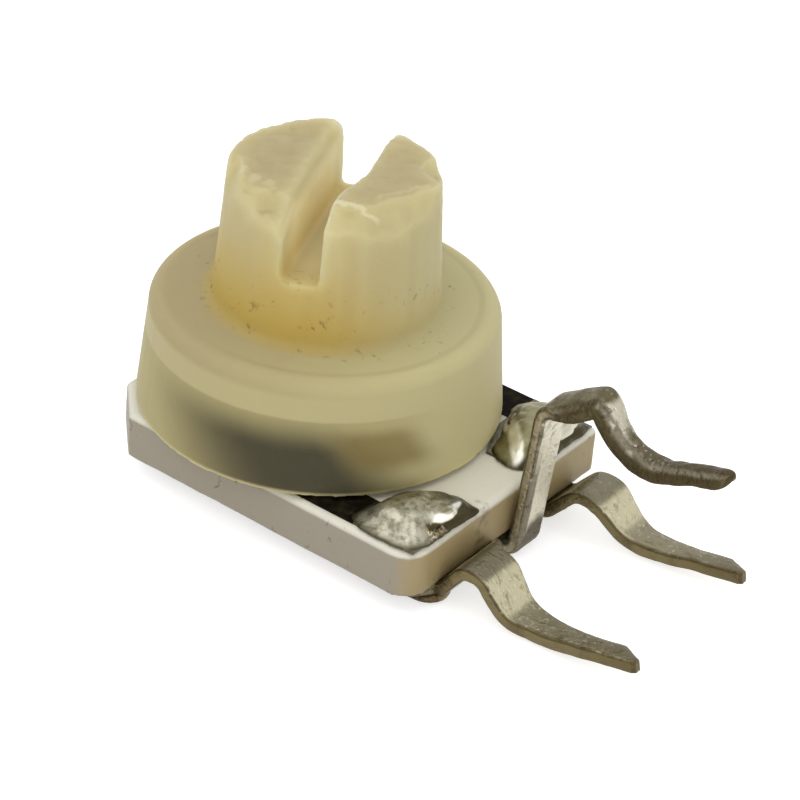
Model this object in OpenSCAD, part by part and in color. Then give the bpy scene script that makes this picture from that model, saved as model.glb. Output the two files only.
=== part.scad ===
// Preset potentiometer on a pressed ceramic plate, with a hollow nylon rotor and a slotted shaft.
// Origin: where the rotor's axis meets the underside of the ceramic plate. +Z runs up the shaft,
// +X runs towards the three terminals. Millimetres.

/* [Ceramic base] */
// Length of the plate along X
base_len = 10.6; // [10:0.1:12]
// Width of the plate along Y
base_w = 8.34; // [8.2:0.02:9.5]
// Thickness of the plate
base_t = 1.32; // [1:0.02:2]
// Leg of the cut corners at the far end
base_chamfer = 1.2; // [0.6:0.05:1.6]
// Radius of the worn corner beside the front terminal
front_corner_r = 0.7; // [0.2:0.05:0.9]
// Radius of the corner beside the back terminal
back_corner_r = 0.25; // [0.1:0.05:0.9]
// Softening of the plate's upper edges
base_edge = 0.14; // [0.05:0.01:0.25]
// Width of the moulded boss that stops the rotor
stop_w = 1; // [0.6:0.05:1]
// Height of the stop boss over the plate
stop_h = 1.0; // [0.5:0.05:1.2]

/* [Resistance track] */
// Radius of the middle of the track, where the wiper runs
track_r = 3.35; // [3.2:0.01:3.4]
// Width of the carbon band
track_w = 1.2; // [0.8:0.02:1.3]
// Thickness of the fired carbon film
track_t = 0.04; // [0.02:0.01:0.08]
// Thickness of the fired silver film
silver_t = 0.05; // [0.02:0.01:0.1]
// How far both silver films reach from the eyelets' axes towards the rotor
silver_reach = 0.91; // [0.7:0.01:1.1]
// Gap in Y from the plate's middle line to the front film
front_silver_y = 1.7; // [1.2:0.05:1.9]
// Gap in Y from the plate's middle line to the back film
back_silver_y = 0.95; // [0.8:0.05:1.9]

/* [Terminals] */
// Distance between the tips of the two outer leads
lead_pitch = 5.08; // [4.8:0.01:5.3]
// Offset of the outer leads' middle from the rotor's axis in Y
lead_mid = 0.12; // [0:0.01:0.2]
// Thickness of the sheet that the outer terminals are stamped from
lead_t = 0.34; // [0.25:0.01:0.45]
// Width of an outer lead at its root
lead_root_w = 1.4; // [0.8:0.05:1.5]
// Width of a lead past its dip
lead_dip_w = 0.95; // [0.7:0.05:1.2]
// Width of a lead at its tip
lead_tip_w = 0.65; // [0.5:0.05:1]
// How far the outer leads reach out from the plate's edge
lead_reach = 5.7; // [4.5:0.1:7]
// Thickness of the sheet that the wiper terminal is stamped from
wiper_t = 0.38; // [0.3:0.01:0.42]
// Width of the wiper terminal's post
wiper_w = 1.1; // [0.7:0.05:1.4]
// Offset of the wiper terminal's post from the rotor's axis in Y
wiper_y = 0.5; // [0:0.05:0.6]
// Width of the wiper terminal's outer part
wiper_tip_w = 0.5; // [0.35:0.05:0.9]
// Height of the wiper terminal's bend over the plate's underside
wiper_post_h = 4; // [3.6:0.05:5]
// Inner radius of the bends in the sheet metal
bend_r = 0.3; // [0.2:0.05:0.4]

/* [Eyelets and solder] */
// Distance from the plate's near edge to the middle of each outer eyelet
eyelet_inset = 1.12; // [1:0.02:1.4]
// Distance between the two outer eyelets in Y
eyelet_pitch = 5.3; // [5:0.05:5.6]
// Outer radius of an outer eyelet's barrel
eyelet_r = 0.6; // [0.4:0.05:0.7]
// Wall of the eyelets
eyelet_wall = 0.2; // [0.15:0.01:0.25]
// Radius of the rolled heads of the outer eyelets
eyelet_head_r = 0.95; // [0.8:0.05:1]
// Thickness of a rolled head
head_t = 0.32; // [0.2:0.02:0.4]
// Height of the solder mounds over the plate
solder_h = 0.7; // [0.64:0.02:0.9]
// Outer radius of the centre eyelet's barrel
centre_r = 1.5; // [1.3:0.02:1.6]
// Radius of the collector ring on the centre eyelet
collector_r = 2.35; // [2.1:0.05:2.4]
// Thickness of the collector ring
collector_t = 0.25; // [0.15:0.01:0.3]

/* [Rotor] */
// Radius of the rotor's top rim
rotor_top_r = 4.62; // [4.45:0.01:4.7]
// Radius of the rotor's skirt at its open end
rotor_skirt_r = 4.92; // [4.8:0.01:5]
// Height of the rotor's top face over the plate's underside
rotor_top_z = 4.6; // [4.4:0.05:5]
// Running gap between the skirt and the plate
skirt_gap = 0.16; // [0.1:0.02:0.3]
// Thickness of the rotor's top wall
rotor_roof = 1; // [0.7:0.05:1.2]
// Thickness of the skirt's wall
rotor_wall = 0.62; // [0.5:0.02:0.7]
// Rounding of the rotor's top rim
rim_r = 0.2; // [0.1:0.02:0.4]
// Radius of the hub inside the rotor
hub_r = 2; // [1.8:0.05:2.1]

/* [Shaft] */
// Radius of the shaft at its foot
shaft_foot_r = 3; // [2.6:0.05:3.2]
// Radius of the shaft at its end
shaft_end_r = 2.74; // [2.4:0.02:3]
// Length of the shaft over the rotor's top face
shaft_len = 3.76; // [3:0.02:6]
// Fillet at the shaft's foot
foot_r = 0.25; // [0.1:0.05:0.4]
// Rounding of the shaft's end
shaft_edge_r = 0.2; // [0.1:0.02:0.4]
// Width of the screwdriver slot
slot_w = 1; // [0.6:0.05:1.4]
// Depth of the screwdriver slot
slot_depth = 2; // [1:0.05:2.6]
// Direction of the slot from +X
slot_angle = 112.5; // [90:0.5:135]
// Radius of the groove torn out beside the slot
tear_r = 0.45; // [0.4:0.05:0.8]
// Slope of that groove towards the back
tear_slope = 17.5; // [10:0.5:20]
// Where the groove starts, in front of the shaft's axis
tear_start = 1.4; // [0.8:0.1:2]

/* [Wiper spring] */
// Thickness of the spring sheet
spring_t = 0.15; // [0.1:0.01:0.2]
// Width of the wiper arm
arm_w = 1.5; // [1:0.05:1.7]
// Width of the slit that parts the arm into two fingers
slit_w = 0.25; // [0.15:0.05:0.4]
// Height of the spring's ring over the collector
spring_lift = 0.6; // [0.4:0.05:0.7]
// Width of each tongue that rests on the collector
tongue_w = 0.5; // [0.3:0.05:0.6]

/* [Fits] */
// Radial running gap between the rotor's journal and the centre eyelet
journal_gap = 0.08; // [0.04:0.01:0.1]
// Gap between metal and the holes in the plate
hole_gap = 0.04; // [0.02:0.01:0.08]
// Gap between a sliding contact and what it touches
contact_gap = 0.03; // [0.02:0.01:0.05]
// Gap between the solder and the turning skirt
solder_gap = 0.14; // [0.1:0.02:0.3]
// Gap between the eyelets' upper heads and the turning skirt
eyelet_clear = 0.03; // [0.02:0.01:0.1]
// Gap between the wiper terminal's post and the plate's edge
post_gap = 0.06; // [0.04:0.01:0.2]

/* [Hidden] */

$fn = 64;
hull_fn = 32;
// Pieces of arc that make one bend in sheet metal
bend_steps = 6;
// Overlap that carries a cut past the face it opens
past = 0.5;
// Depth and height that hold every bent terminal
deep = 2;
tall = 8;

// Plate
half_w = base_w / 2;
top_z = base_t;
skirt_z = top_z + skirt_gap;
eyelet_y = eyelet_pitch / 2;
// The eyelets' heads, which slope, clear the turning skirt
head_slope = 0.5;
head_at_skirt = eyelet_head_r - (skirt_gap - silver_t) * head_slope;
eyelet_x = sqrt(pow(rotor_skirt_r + eyelet_clear + head_at_skirt, 2) - pow(eyelet_y, 2));
near_x = eyelet_x + eyelet_inset;
far_x = near_x - base_len;
silver_x = eyelet_x - silver_reach;

// Track
track_out = track_r + track_w / 2;
track_in = track_r - track_w / 2;
// Corner left off each silver film towards the rotor
film_cut = [0.55, 1.2];
// How far the solder stays inside the film's outline, and how high the pool stands
pool_inset = 0.12;
pool_h = 0.25;

// Outer terminals and their eyelets. The two leads were bent by hand, so they differ a little. A
// crest and a dip are [distance past the plate's edge, height]. A skew is how far the root, the dip
// and the tip stand off their even places in Y, and a shoulder is how far the root widens towards
// the wiper where it leaves the plate
lead_y = lead_pitch / 2;
foot_spread = 0.2;
foot_r_plate = eyelet_head_r + foot_spread;
seat_z = -lead_t - head_t;
bend_start = 0.12;
crest_len = 0.6;
dip_len = 1;
front_crest = [1, 0.7];
front_dip = [2.05, -0.34];
front_tip_z = 0.28;
front_skew = [0.1, 0.21, 0.08];
front_shoulder = 1.1;
back_crest = [1.15, 0.66];
back_dip = [2.35, -0.28];
back_tip_z = 0.2;
back_skew = [-0.21, -0.04, 0];
back_shoulder = 0.15;
// Where a lead's shoulder starts and ends, where it narrows to its dip, and where to its tip, all
// past the plate's edge
shoulder_at = [0.15, 1];
lead_neck = [1.5, 2.6, 4.2];
tip_cut = 0.2;

// Wiper terminal: where it steps down under the plate, past the collector's ring, and the points it
// passes from the top of its post, as [distance, height]. Its far edge comes in between the two
// distances of its neck
wiper_step = [0.5, 1];
wiper_points = [[0.36, 0], [1.62, 0.64], [2.25, 0], [3.6, -0.36], [5.65, 0.45]];
wiper_neck = [1.7, 3];

// Centre eyelet, with a flared mouth that holds the staked journal
centre_wall = 0.3;
mouth_flare = 0.35;
flange_inset = 0.25;
stake_edge = 0.08;
centre_bore = centre_r - centre_wall;
journal_r = centre_bore - journal_gap;
collector_z = top_z + collector_t;
ring_z = collector_z + spring_lift;
hub_z = ring_z + spring_t;
mouth_r = centre_bore + mouth_flare;

// Rotor
roof_z = rotor_top_z - rotor_roof;
shaft_end_z = rotor_top_z + shaft_len;
slot_floor_z = shaft_end_z - slot_depth;
contact_angle = slot_angle + 180;

// Spring. The arm and the tongues start inside the ring, and their noses turn up past the contact
ring_spread = 0.15;
spring_out = hub_r + ring_spread;
arm_root = 0.3;
arm_bend = 0.55;
arm_nose = [0.35, 0.5];
tongue_y = (journal_r + spring_out) / 2;
tongue_root = 0.35;
tongue_len = 0.9;
tongue_nose = [0.25, 0.25];

// Stops: the ribs beside the wiper arm meet the boss at both ends of the travel
rib_t = 0.8;
rib_spread = 32;
rib_lift = 0.3;
rib_sink = 0.1;
rib_z = skirt_z + rib_lift;
stop_inset = 0.2;
stop_r0 = track_in;
stop_r1 = track_out - stop_inset;

// ---- Paths of bent sheet metal ----

function unit(v) = v / norm(v);

// Points of the arc that rounds the corner b between a and c
function corner(a, b, c, r) =
    let (u = unit(a - b), v = unit(c - b), half = acos(u * v) / 2)
    let (middle = b + unit(u + v) * r / sin(half), first = b + u * r / tan(half) - middle)
    let (start = atan2(first[1], first[0]), turn = 180 - 2 * half)
    let (way = (v[0] * u[1] - v[1] * u[0]) > 0 ? 1 : -1)
    [for (i = [0 : bend_steps])
        middle + r * [cos(start + way * turn * i / bend_steps), sin(start + way * turn * i / bend_steps)]];

// A path through the points p, with every inner corner rounded to its radius in r
function bent(p, r) = concat(
    [p[0]],
    [for (i = [1 : len(p) - 2]) each corner(p[i - 1], p[i], p[i + 1], r[i - 1])],
    [p[len(p) - 1]]);

// The side direction at point i of a path, longer at a corner so that the sheet keeps its thickness
function side(p, i) =
    let (n = len(p) - 1)
    let (a = unit(p[max(i, 1)] - p[max(i, 1) - 1]), b = unit(p[min(i, n - 1) + 1] - p[min(i, n - 1)]))
    let (m = unit(a + b))
    [-m[1], m[0]] / (m * a);

// Outline of a sheet of thickness t along a path
function sheet(p, t) = concat(
    [for (i = [0 : len(p) - 1]) p[i] + side(p, i) * t / 2],
    [for (i = [len(p) - 1 : -1 : 0]) p[i] - side(p, i) * t / 2]);

// A strip bent along a path in the XZ plane, w wide, its middle at y
module bent_strip(p, r, t, w, y) {
    translate([0, y + w / 2, 0])
        rotate([90, 0, 0])
            linear_extrude(w) polygon(sheet(bent(p, r), t));
}

// ---- Ceramic plate ----

// Outline of the plate, drawn in by inset
module plate_outline(inset) {
    arc = [for (i = [0 : 4]) i * 90 / 4];
    f = front_corner_r;
    b = back_corner_r;
    x0 = far_x + inset;
    x1 = near_x - inset;
    y1 = half_w - inset;
    c = base_chamfer - inset * (2 - sqrt(2));
    polygon(concat(
        [[x0, y1 - c], [x0, c - y1], [x0 + c, -y1]],
        [for (a = arc) [x1 - f + f * sin(a), -y1 + f - f * cos(a)]],
        [for (a = arc) [x1 - b + b * cos(a), y1 - b + b * sin(a)]],
        [[x0 + c, y1]]));
}

module at_eyelets() {
    for (s = [-1, 1]) translate([eyelet_x, s * eyelet_y, 0]) children();
}

module ceramic_base() {
    color("linen") {
        difference() {
            hull() {
                linear_extrude(top_z - base_edge) plate_outline(0);
                linear_extrude(top_z) plate_outline(base_edge);
            }
            translate([0, 0, -past]) cylinder(r = centre_r + hole_gap, h = base_t + 2 * past);
            at_eyelets()
                translate([0, 0, -past]) cylinder(r = eyelet_r + hole_gap, h = base_t + 2 * past);
        }
        translate([stop_r0, -stop_w / 2, top_z]) cube([stop_r1 - stop_r0, stop_w, stop_h]);
    }
}

// ---- Track and silver films ----

module carbon_track() {
    color("dimgray")
        translate([0, 0, top_z])
            linear_extrude(track_t) difference() {
                intersection() {
                    union() {
                        circle(r = track_out);
                        translate([0, -track_out]) square([silver_x, 2 * track_out]);
                    }
                    plate_outline(base_edge);
                }
                circle(r = track_in);
                translate([0, -track_in]) square([silver_x + past, 2 * track_in]);
            }
}

// Film on one side: s is -1 at the front and 1 at the back, gap its distance from the middle line
module silver_film(s, gap) {
    edge = near_x - base_edge;
    y0 = gap;
    y1 = track_out;
    color("silver")
        translate([0, 0, top_z])
            linear_extrude(silver_t) difference() {
                polygon([[silver_x, s * (y0 + film_cut[1])], [silver_x + film_cut[0], s * y0],
                    [edge, s * y0], [edge, s * y1], [silver_x, s * y1]]);
                translate([eyelet_x, s * eyelet_y]) circle(r = eyelet_r + hole_gap);
            }
}

module silver_film_front() {
    silver_film(-1, front_silver_y);
}

module silver_film_back() {
    silver_film(1, back_silver_y);
}

// ---- Outer terminals ----

// Plan of an outer lead: a shoulder on the wiper's side, and two stretches that narrow. The list y
// holds the middle of its root, its dip and its tip, and t is the way to the wiper
module lead_plan(s, y, shoulder) {
    t = -s;
    root_x = eyelet_x + eyelet_r / 2;
    tip_x = near_x + lead_reach;
    neck_x = near_x + lead_neck[0];
    dip_x = near_x + lead_neck[1];
    tail_x = near_x + lead_neck[2];
    a = lead_root_w / 2;
    b = lead_dip_w / 2;
    c = lead_tip_w / 2;
    wide = a + shoulder;
    polygon([[root_x, y[0] + t * wide], [near_x + shoulder_at[0], y[0] + t * wide],
        [near_x + shoulder_at[1], y[0] + t * a], [neck_x, y[0] + t * a], [dip_x, y[1] + t * b],
        [tail_x, y[2] + t * c], [tip_x - tip_cut, y[2] + t * c], [tip_x, y[2] + t * (c - tip_cut)],
        [tip_x, y[2] - t * (c - tip_cut)], [tip_x - tip_cut, y[2] - t * c], [tail_x, y[2] - t * c],
        [dip_x, y[1] - t * b], [neck_x, y[0] - t * a], [root_x, y[0] - t * a]]);
}

// Side view of an outer lead: flat under the plate, over a crest, down to dip, and out to the tip
function lead_path(crest, dip, tip_z) = [
    [eyelet_x - foot_r_plate - past, -lead_t / 2],
    [near_x + bend_start, -lead_t / 2],
    [near_x + crest[0] - crest_len / 2, crest[1]],
    [near_x + crest[0] + crest_len / 2, crest[1]],
    [near_x + dip[0], dip[1]],
    [near_x + dip[0] + dip_len, dip[1]],
    [near_x + lead_reach + past, tip_z]];
lead_bends = [0.25, 0.3, 0.35, 0.45, 2];

module outer_terminal(s, path, skew, shoulder) {
    middle = lead_mid + s * lead_y;
    color("lightgray")
        difference() {
            union() {
                intersection() {
                    bent_strip(path, lead_bends, lead_t, 4 * foot_r_plate, s * eyelet_y);
                    translate([0, 0, -deep])
                        linear_extrude(tall) lead_plan(s, [for (d = skew) middle + d], shoulder);
                }
                translate([eyelet_x, s * eyelet_y, -lead_t]) cylinder(r = foot_r_plate, h = lead_t);
            }
            translate([eyelet_x, s * eyelet_y, -deep]) cylinder(r = eyelet_r + hole_gap, h = tall);
        }
}

module terminal_front() {
    outer_terminal(-1, lead_path(front_crest, front_dip, front_tip_z), front_skew, front_shoulder);
}

module terminal_back() {
    outer_terminal(1, lead_path(back_crest, back_dip, back_tip_z), back_skew, back_shoulder);
}

// ---- Wiper terminal ----

// Side view of the wiper terminal: from the collector along the underside, down a small step to the
// level of the eyelets' heads, up past the plate's edge, over a crest, and out to the tip
post_x = near_x + post_gap + wiper_t / 2;
run_z = seat_z + wiper_t / 2;
wiper_path = concat(
    [[0, -wiper_t / 2], [collector_r + wiper_step[0], -wiper_t / 2], [collector_r + wiper_step[1], run_z],
        [post_x, run_z]],
    [for (p = wiper_points) [post_x, wiper_post_h] + p]);
wiper_bends = [0.3, 0.3, bend_r, 0.3, 0.4, 0.6, 1.5];

// Plan of the wiper terminal: its near edge stays straight, and its far edge comes in past the crest
module wiper_plan() {
    tip_x = wiper_path[len(wiper_path) - 1][0];
    neck_x = post_x + wiper_neck[0];
    slim_x = post_x + wiper_neck[1];
    nose = tip_cut;
    y0 = wiper_y - wiper_w / 2;
    y1 = wiper_y + wiper_w / 2;
    y2 = y0 + wiper_tip_w;
    polygon([[0, y0], [tip_x - nose, y0], [tip_x, y0 + nose], [tip_x, y2 - nose], [tip_x - nose, y2],
        [slim_x, y2], [neck_x, y1], [0, y1]]);
}

module terminal_wiper() {
    color("silver")
        difference() {
            union() {
                intersection() {
                    bent_strip(wiper_path, wiper_bends, wiper_t, wiper_w, wiper_y);
                    translate([0, 0, -deep]) linear_extrude(tall) wiper_plan();
                }
                translate([0, 0, -wiper_t]) cylinder(r = collector_r, h = wiper_t);
            }
            translate([0, 0, -deep]) cylinder(r = centre_r + hole_gap, h = tall);
        }
}

// ---- Eyelets and solder ----

module eyelet(s) {
    color("tan")
        translate([eyelet_x, s * eyelet_y, 0])
            rotate_extrude() polygon([
                [eyelet_r - eyelet_wall, seat_z], [eyelet_head_r - head_t / 2, seat_z],
                [eyelet_head_r, seat_z + head_t / 2], [eyelet_head_r, -lead_t],
                [eyelet_r, -lead_t], [eyelet_r, top_z + silver_t],
                [eyelet_head_r, top_z + silver_t],
                [eyelet_head_r - head_t * head_slope, top_z + silver_t + head_t],
                [eyelet_r - eyelet_wall, top_z + silver_t + head_t]]);
}

module eyelet_front() {
    eyelet(-1);
}

module eyelet_back() {
    eyelet(1);
}

// A pool that covers the silver film, with a round dome over the eyelet's head
module solder(s, gap) {
    foot_z = top_z + silver_t;
    x0 = silver_x + pool_inset;
    x1 = near_x - base_edge - 2 * pool_inset;
    y0 = gap + pool_inset;
    y1 = track_out - pool_inset;
    dome_h = solder_h - silver_t;
    dome_foot_r = eyelet_head_r + foot_spread;
    dome_r = (pow(dome_foot_r, 2) + pow(dome_h, 2)) / (2 * dome_h);
    color("gainsboro")
        difference() {
            union() {
                hull() for (step = [0, 1])
                    translate([0, 0, foot_z]) linear_extrude(pool_h / (2 - step))
                        offset(delta = -step * pool_h, $fn = hull_fn)
                            polygon([[x0, s * (y0 + film_cut[1])], [x0 + film_cut[0], s * y0], [x1, s * y0],
                                [x1, s * y1], [x0, s * y1]]);
                intersection() {
                    translate([eyelet_x, s * eyelet_y, foot_z + dome_h - dome_r]) sphere(r = dome_r);
                    translate([eyelet_x, s * eyelet_y, foot_z]) cylinder(r = dome_foot_r, h = dome_h);
                }
            }
            translate([eyelet_x, s * eyelet_y, foot_z - past]) cylinder(r = eyelet_head_r, h = past);
            translate([eyelet_x, s * eyelet_y, foot_z])
                cylinder(r1 = eyelet_head_r, r2 = eyelet_head_r - head_t * head_slope, h = head_t);
            translate([0, 0, -past]) cylinder(r = rotor_skirt_r + solder_gap, h = 4 * base_t);
        }
}

module solder_front() {
    solder(-1, front_silver_y);
}

module solder_back() {
    solder(1, back_silver_y);
}

module centre_eyelet() {
    flange_r = collector_r - flange_inset;
    color("goldenrod")
        rotate_extrude() polygon([
            [centre_bore, -wiper_t], [mouth_r, seat_z], [flange_r - head_t / 2, seat_z],
            [flange_r, seat_z + head_t / 2], [flange_r, -wiper_t], [centre_r, -wiper_t],
            [centre_r, top_z], [collector_r, top_z], [collector_r, collector_z],
            [centre_bore, collector_z]]);
}

// ---- Wiper spring ----

// Side view of the wiper arm: out from the ring, down to the track, and up again at its nose
arm_path = [[hub_r - arm_root, ring_z + spring_t / 2], [track_r - arm_bend, ring_z + spring_t / 2],
    [track_r, top_z + track_t + contact_gap + spring_t / 2],
    [track_r + arm_nose[0], top_z + arm_nose[1]]];
arm_bends = [0.2, 0.14];

// Side view of a tongue that presses on the collector
tongue_end = tongue_root + tongue_len;
tongue_path = [[tongue_root - past, ring_z + spring_t / 2], [tongue_root, ring_z + spring_t / 2],
    [tongue_end, collector_z + contact_gap + spring_t / 2],
    [tongue_end + tongue_nose[0], collector_z + tongue_nose[1]]];
tongue_bends = [0.2, 0.12];

// A ring open at the back, whose two ends are the tongues, with a slit arm at its front
module contact_spring() {
    color("darkgoldenrod")
        rotate([0, 0, contact_angle]) {
            difference() {
                union() {
                    translate([0, 0, ring_z]) cylinder(r = spring_out, h = spring_t);
                    bent_strip(arm_path, arm_bends, spring_t, arm_w, 0);
                }
                translate([0, 0, ring_z - past])
                    cylinder(r = journal_r + journal_gap, h = spring_t + 2 * past);
                translate([spring_out, -slit_w / 2, 0]) cube([track_r, slit_w, 2 * ring_z]);
                translate([-2 * spring_out, -spring_out, ring_z - past])
                    cube([2 * spring_out - tongue_root, 2 * spring_out, spring_t + 2 * past]);
            }
            for (s = [-1, 1])
                mirror([1, 0, 0]) bent_strip(tongue_path, tongue_bends, spring_t, tongue_w, s * tongue_y);
        }
}

// ---- Rotor ----

// Half section of the rotor: shaft, roof, skirt, hub and the journal staked in the eyelet's mouth
module rotor_section() {
    arc = [for (i = [0 : 6]) i * 15];
    in_bottom = rotor_skirt_r - rotor_wall;
    in_top = rotor_top_r - rotor_wall;
    stake_z = seat_z + stake_edge;
    polygon(concat(
        [[0, stake_z], [mouth_r - journal_gap - stake_edge, stake_z], [journal_r, -wiper_t - contact_gap],
            [journal_r, hub_z], [hub_r, hub_z], [hub_r, roof_z], [in_top, roof_z],
            [in_bottom, skirt_z], [rotor_skirt_r, skirt_z]],
        [for (a = arc) [rotor_top_r - rim_r + rim_r * cos(a), rotor_top_z - rim_r + rim_r * sin(a)]],
        [for (a = arc) [shaft_foot_r + foot_r - foot_r * sin(a), rotor_top_z + foot_r - foot_r * cos(a)]],
        [for (a = arc) [shaft_end_r - shaft_edge_r * (1 - cos(a)), shaft_end_z - shaft_edge_r * (1 - sin(a))]],
        [[0, shaft_end_z]]));
}

// A rib inside the rotor, clear of the spring under the hub
module rib() {
    difference() {
        translate([hub_r - rib_t / 2, -rib_t / 2, rib_z])
            cube([rotor_top_r - rotor_wall - hub_r + rib_t / 2 + rib_sink, rib_t, roof_z - rib_z + rib_sink]);
        translate([0, 0, rib_z - past]) cylinder(r = spring_out + journal_gap, h = hub_z - rib_z + past);
    }
}

// Round chips broken off the shaft's end: [x, y, height over the end, radius]. The first list is on
// the post on the -X side of the slot, the second on the other post
left_chips = [[0.2, -3.5, 1.25, 2.05], [-3.7, -1.9, 0.9, 1.35], [-2.9, 1.2, 1.5, 1.62]];
right_chips = [[2.76, -2.15, 1.25, 1.6], [2.4, 2.1, 0.85, 1.3]];

// The half of the shaft's upper end on one side of the slot: side is 1 for the -X side, -1 for the other
module post_space(side) {
    reach = 2 * shaft_foot_r;
    rotate([0, 0, slot_angle])
        translate([-reach, side > 0 ? 0 : -reach, slot_floor_z]) cube([2 * reach, reach, reach]);
}

module chips(list) {
    for (c = list) translate([c[0], c[1], shaft_end_z + c[2]]) sphere(r = c[3]);
}

// A round groove torn along the slot's edge, from the top face down towards the back
module tear() {
    rotate([0, 0, slot_angle])
        translate([-tear_start, tear_r / 6 - slot_w / 2, shaft_end_z])
            rotate([0, tear_slope, 0])
                translate([-tear_r, 0, tear_r]) {
                    rotate([0, 90, 0]) cylinder(r = tear_r, h = 3 * shaft_foot_r);
                    translate([0, -tear_r, 0]) cube([3 * shaft_foot_r, 2 * tear_r, shaft_len]);
                }
}

module rotor() {
    color("cornsilk")
        difference() {
            union() {
                rotate_extrude() rotor_section();
                for (s = [-1, 1]) rotate([0, 0, contact_angle + s * rib_spread]) rib();
            }
            rotate([0, 0, slot_angle])
                translate([-2 * shaft_foot_r, -slot_w / 2, slot_floor_z])
                    cube([4 * shaft_foot_r, slot_w, slot_depth + past]);
            intersection() {
                chips(left_chips);
                post_space(1);
            }
            intersection() {
                union() {
                    chips(right_chips);
                    tear();
                }
                post_space(-1);
            }
        }
}

ceramic_base();
carbon_track();
silver_film_front();
silver_film_back();
terminal_front();
terminal_back();
terminal_wiper();
eyelet_front();
eyelet_back();
solder_front();
solder_back();
centre_eyelet();
contact_spring();
rotor();
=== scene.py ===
"""Preset potentiometer: a hollow nylon rotor with a broken, slotted shaft on a ceramic plate.

Sizes are millimetres, and the mesh builders turn them into metres. The origin is where the rotor's
axis meets the underside of the plate, +Z runs up the shaft and +X runs towards the terminals.
"""
import logging
import math
from dataclasses import dataclass
from enum import Enum
from typing import Callable, Sequence

import bpy
import numpy as np
from mathutils import Matrix, Vector


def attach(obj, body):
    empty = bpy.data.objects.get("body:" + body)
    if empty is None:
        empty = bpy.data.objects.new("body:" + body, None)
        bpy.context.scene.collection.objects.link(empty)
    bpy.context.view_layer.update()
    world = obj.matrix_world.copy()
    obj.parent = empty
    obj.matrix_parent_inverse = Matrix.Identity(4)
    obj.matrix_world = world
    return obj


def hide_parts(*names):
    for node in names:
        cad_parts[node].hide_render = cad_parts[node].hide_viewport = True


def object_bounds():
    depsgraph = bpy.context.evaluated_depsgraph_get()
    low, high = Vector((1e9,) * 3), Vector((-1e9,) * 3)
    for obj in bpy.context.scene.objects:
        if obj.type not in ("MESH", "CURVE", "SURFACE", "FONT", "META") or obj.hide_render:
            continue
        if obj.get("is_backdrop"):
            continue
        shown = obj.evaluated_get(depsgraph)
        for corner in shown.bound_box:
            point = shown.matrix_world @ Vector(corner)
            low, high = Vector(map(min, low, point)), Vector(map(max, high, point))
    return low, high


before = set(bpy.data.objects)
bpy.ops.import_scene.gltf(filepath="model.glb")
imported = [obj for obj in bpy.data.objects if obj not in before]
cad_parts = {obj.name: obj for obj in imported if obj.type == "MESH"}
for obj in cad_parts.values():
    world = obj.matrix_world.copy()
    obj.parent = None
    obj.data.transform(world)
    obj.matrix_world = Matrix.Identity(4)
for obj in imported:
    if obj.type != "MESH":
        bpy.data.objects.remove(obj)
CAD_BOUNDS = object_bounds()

LOG = logging.getLogger("preset_potentiometer")
MM = 0.001
SMOOTH_ANGLE = math.radians(38)
HOLE_SIDES = 64
STATION_GAP = 0.045
CROWDED = 0.6

Array = np.ndarray
Piece = bpy.types.Object
Material = bpy.types.Material
Tree = bpy.types.NodeTree
Socket = bpy.types.NodeSocket

# Places that several sub-assemblies share
UNDER_Z = -0.66
FILM_TOP_Z = 1.37
DISC_TOP_Z = 4.6
SHAFT_R = 3.0
SLOT_TURN = math.radians(112.5)
PLATE_END_X = 6.33
EYELET_X = 5.21
EYELET_Y = 2.65


# ---------------------------------------------------------------------------------------------
# Arithmetic that the shapes share
# ---------------------------------------------------------------------------------------------


def smoothstep(low: float, high: float, x: Array) -> Array:
    """A soft step from 0 at `low` to 1 at `high`, which may be the lower number.

    With t running from 0 to 1 between the two, it is t squared times three minus two t.
    """
    t = np.clip((x - low) / (high - low), 0.0, 1.0)
    return t * t * (3.0 - 2.0 * t)


def value_noise(points: Array, grain: float, seed: int) -> Array:
    """Smooth noise from -1 to 1.

    Every corner of a cubic lattice gets a hashed random value, and the eight corners round a point
    are mixed with a soft step along each axis.

    Args:
        points: Points in millimetres, with the coordinates on the last axis.
        grain: Spacing of the lattice in millimetres.
        seed: Number that picks the pattern.

    Returns:
        One value for each point.
    """
    scaled = points / grain
    cell = np.floor(scaled).astype(np.int64)
    part = scaled - cell
    part = part * part * (3.0 - 2.0 * part)
    total = np.zeros(points.shape[:-1])
    for corner in np.ndindex(2, 2, 2):
        at = cell + np.array(corner)
        key = at[..., 0] * 374761393 + at[..., 1] * 668265263 + at[..., 2] * 362437 + seed * 69069
        key = (key ^ (key >> 13)) * 1274126177
        value = ((key ^ (key >> 16)) & 0xFFFF) / 32767.5 - 1.0
        weight = np.prod(np.where(np.array(corner) == 1, part, 1.0 - part), axis=-1)
        total += weight * value
    return total


def rough(points: Array, grain: float, seed: int, octaves: int = 3) -> Array:
    """Layers of value noise, each with half the grain and half the height of the one before."""
    layers = [value_noise(points, grain / 2**k, seed + k) / 2**k for k in range(octaves)]
    return np.sum(layers, axis=0)


def scoop(x: Array, y: Array, centre: Sequence[float], radius: float) -> Array:
    """Height of the underside of a ball over each plan point, and a great height beside it."""
    reach = radius**2 - (x - centre[0]) ** 2 - (y - centre[1]) ** 2
    return np.where(reach > 0, centre[2] - np.sqrt(np.maximum(reach, 0.0)), np.inf)


def edge_drop(distance: Array, radius: float) -> Array:
    """How far a rounded edge falls at a distance inside it: a quarter circle of that radius."""
    inside = np.clip(radius - distance, 0.0, radius)
    return radius - np.sqrt(radius**2 - inside**2)


# ---------------------------------------------------------------------------------------------
# Meshes
# ---------------------------------------------------------------------------------------------


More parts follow.
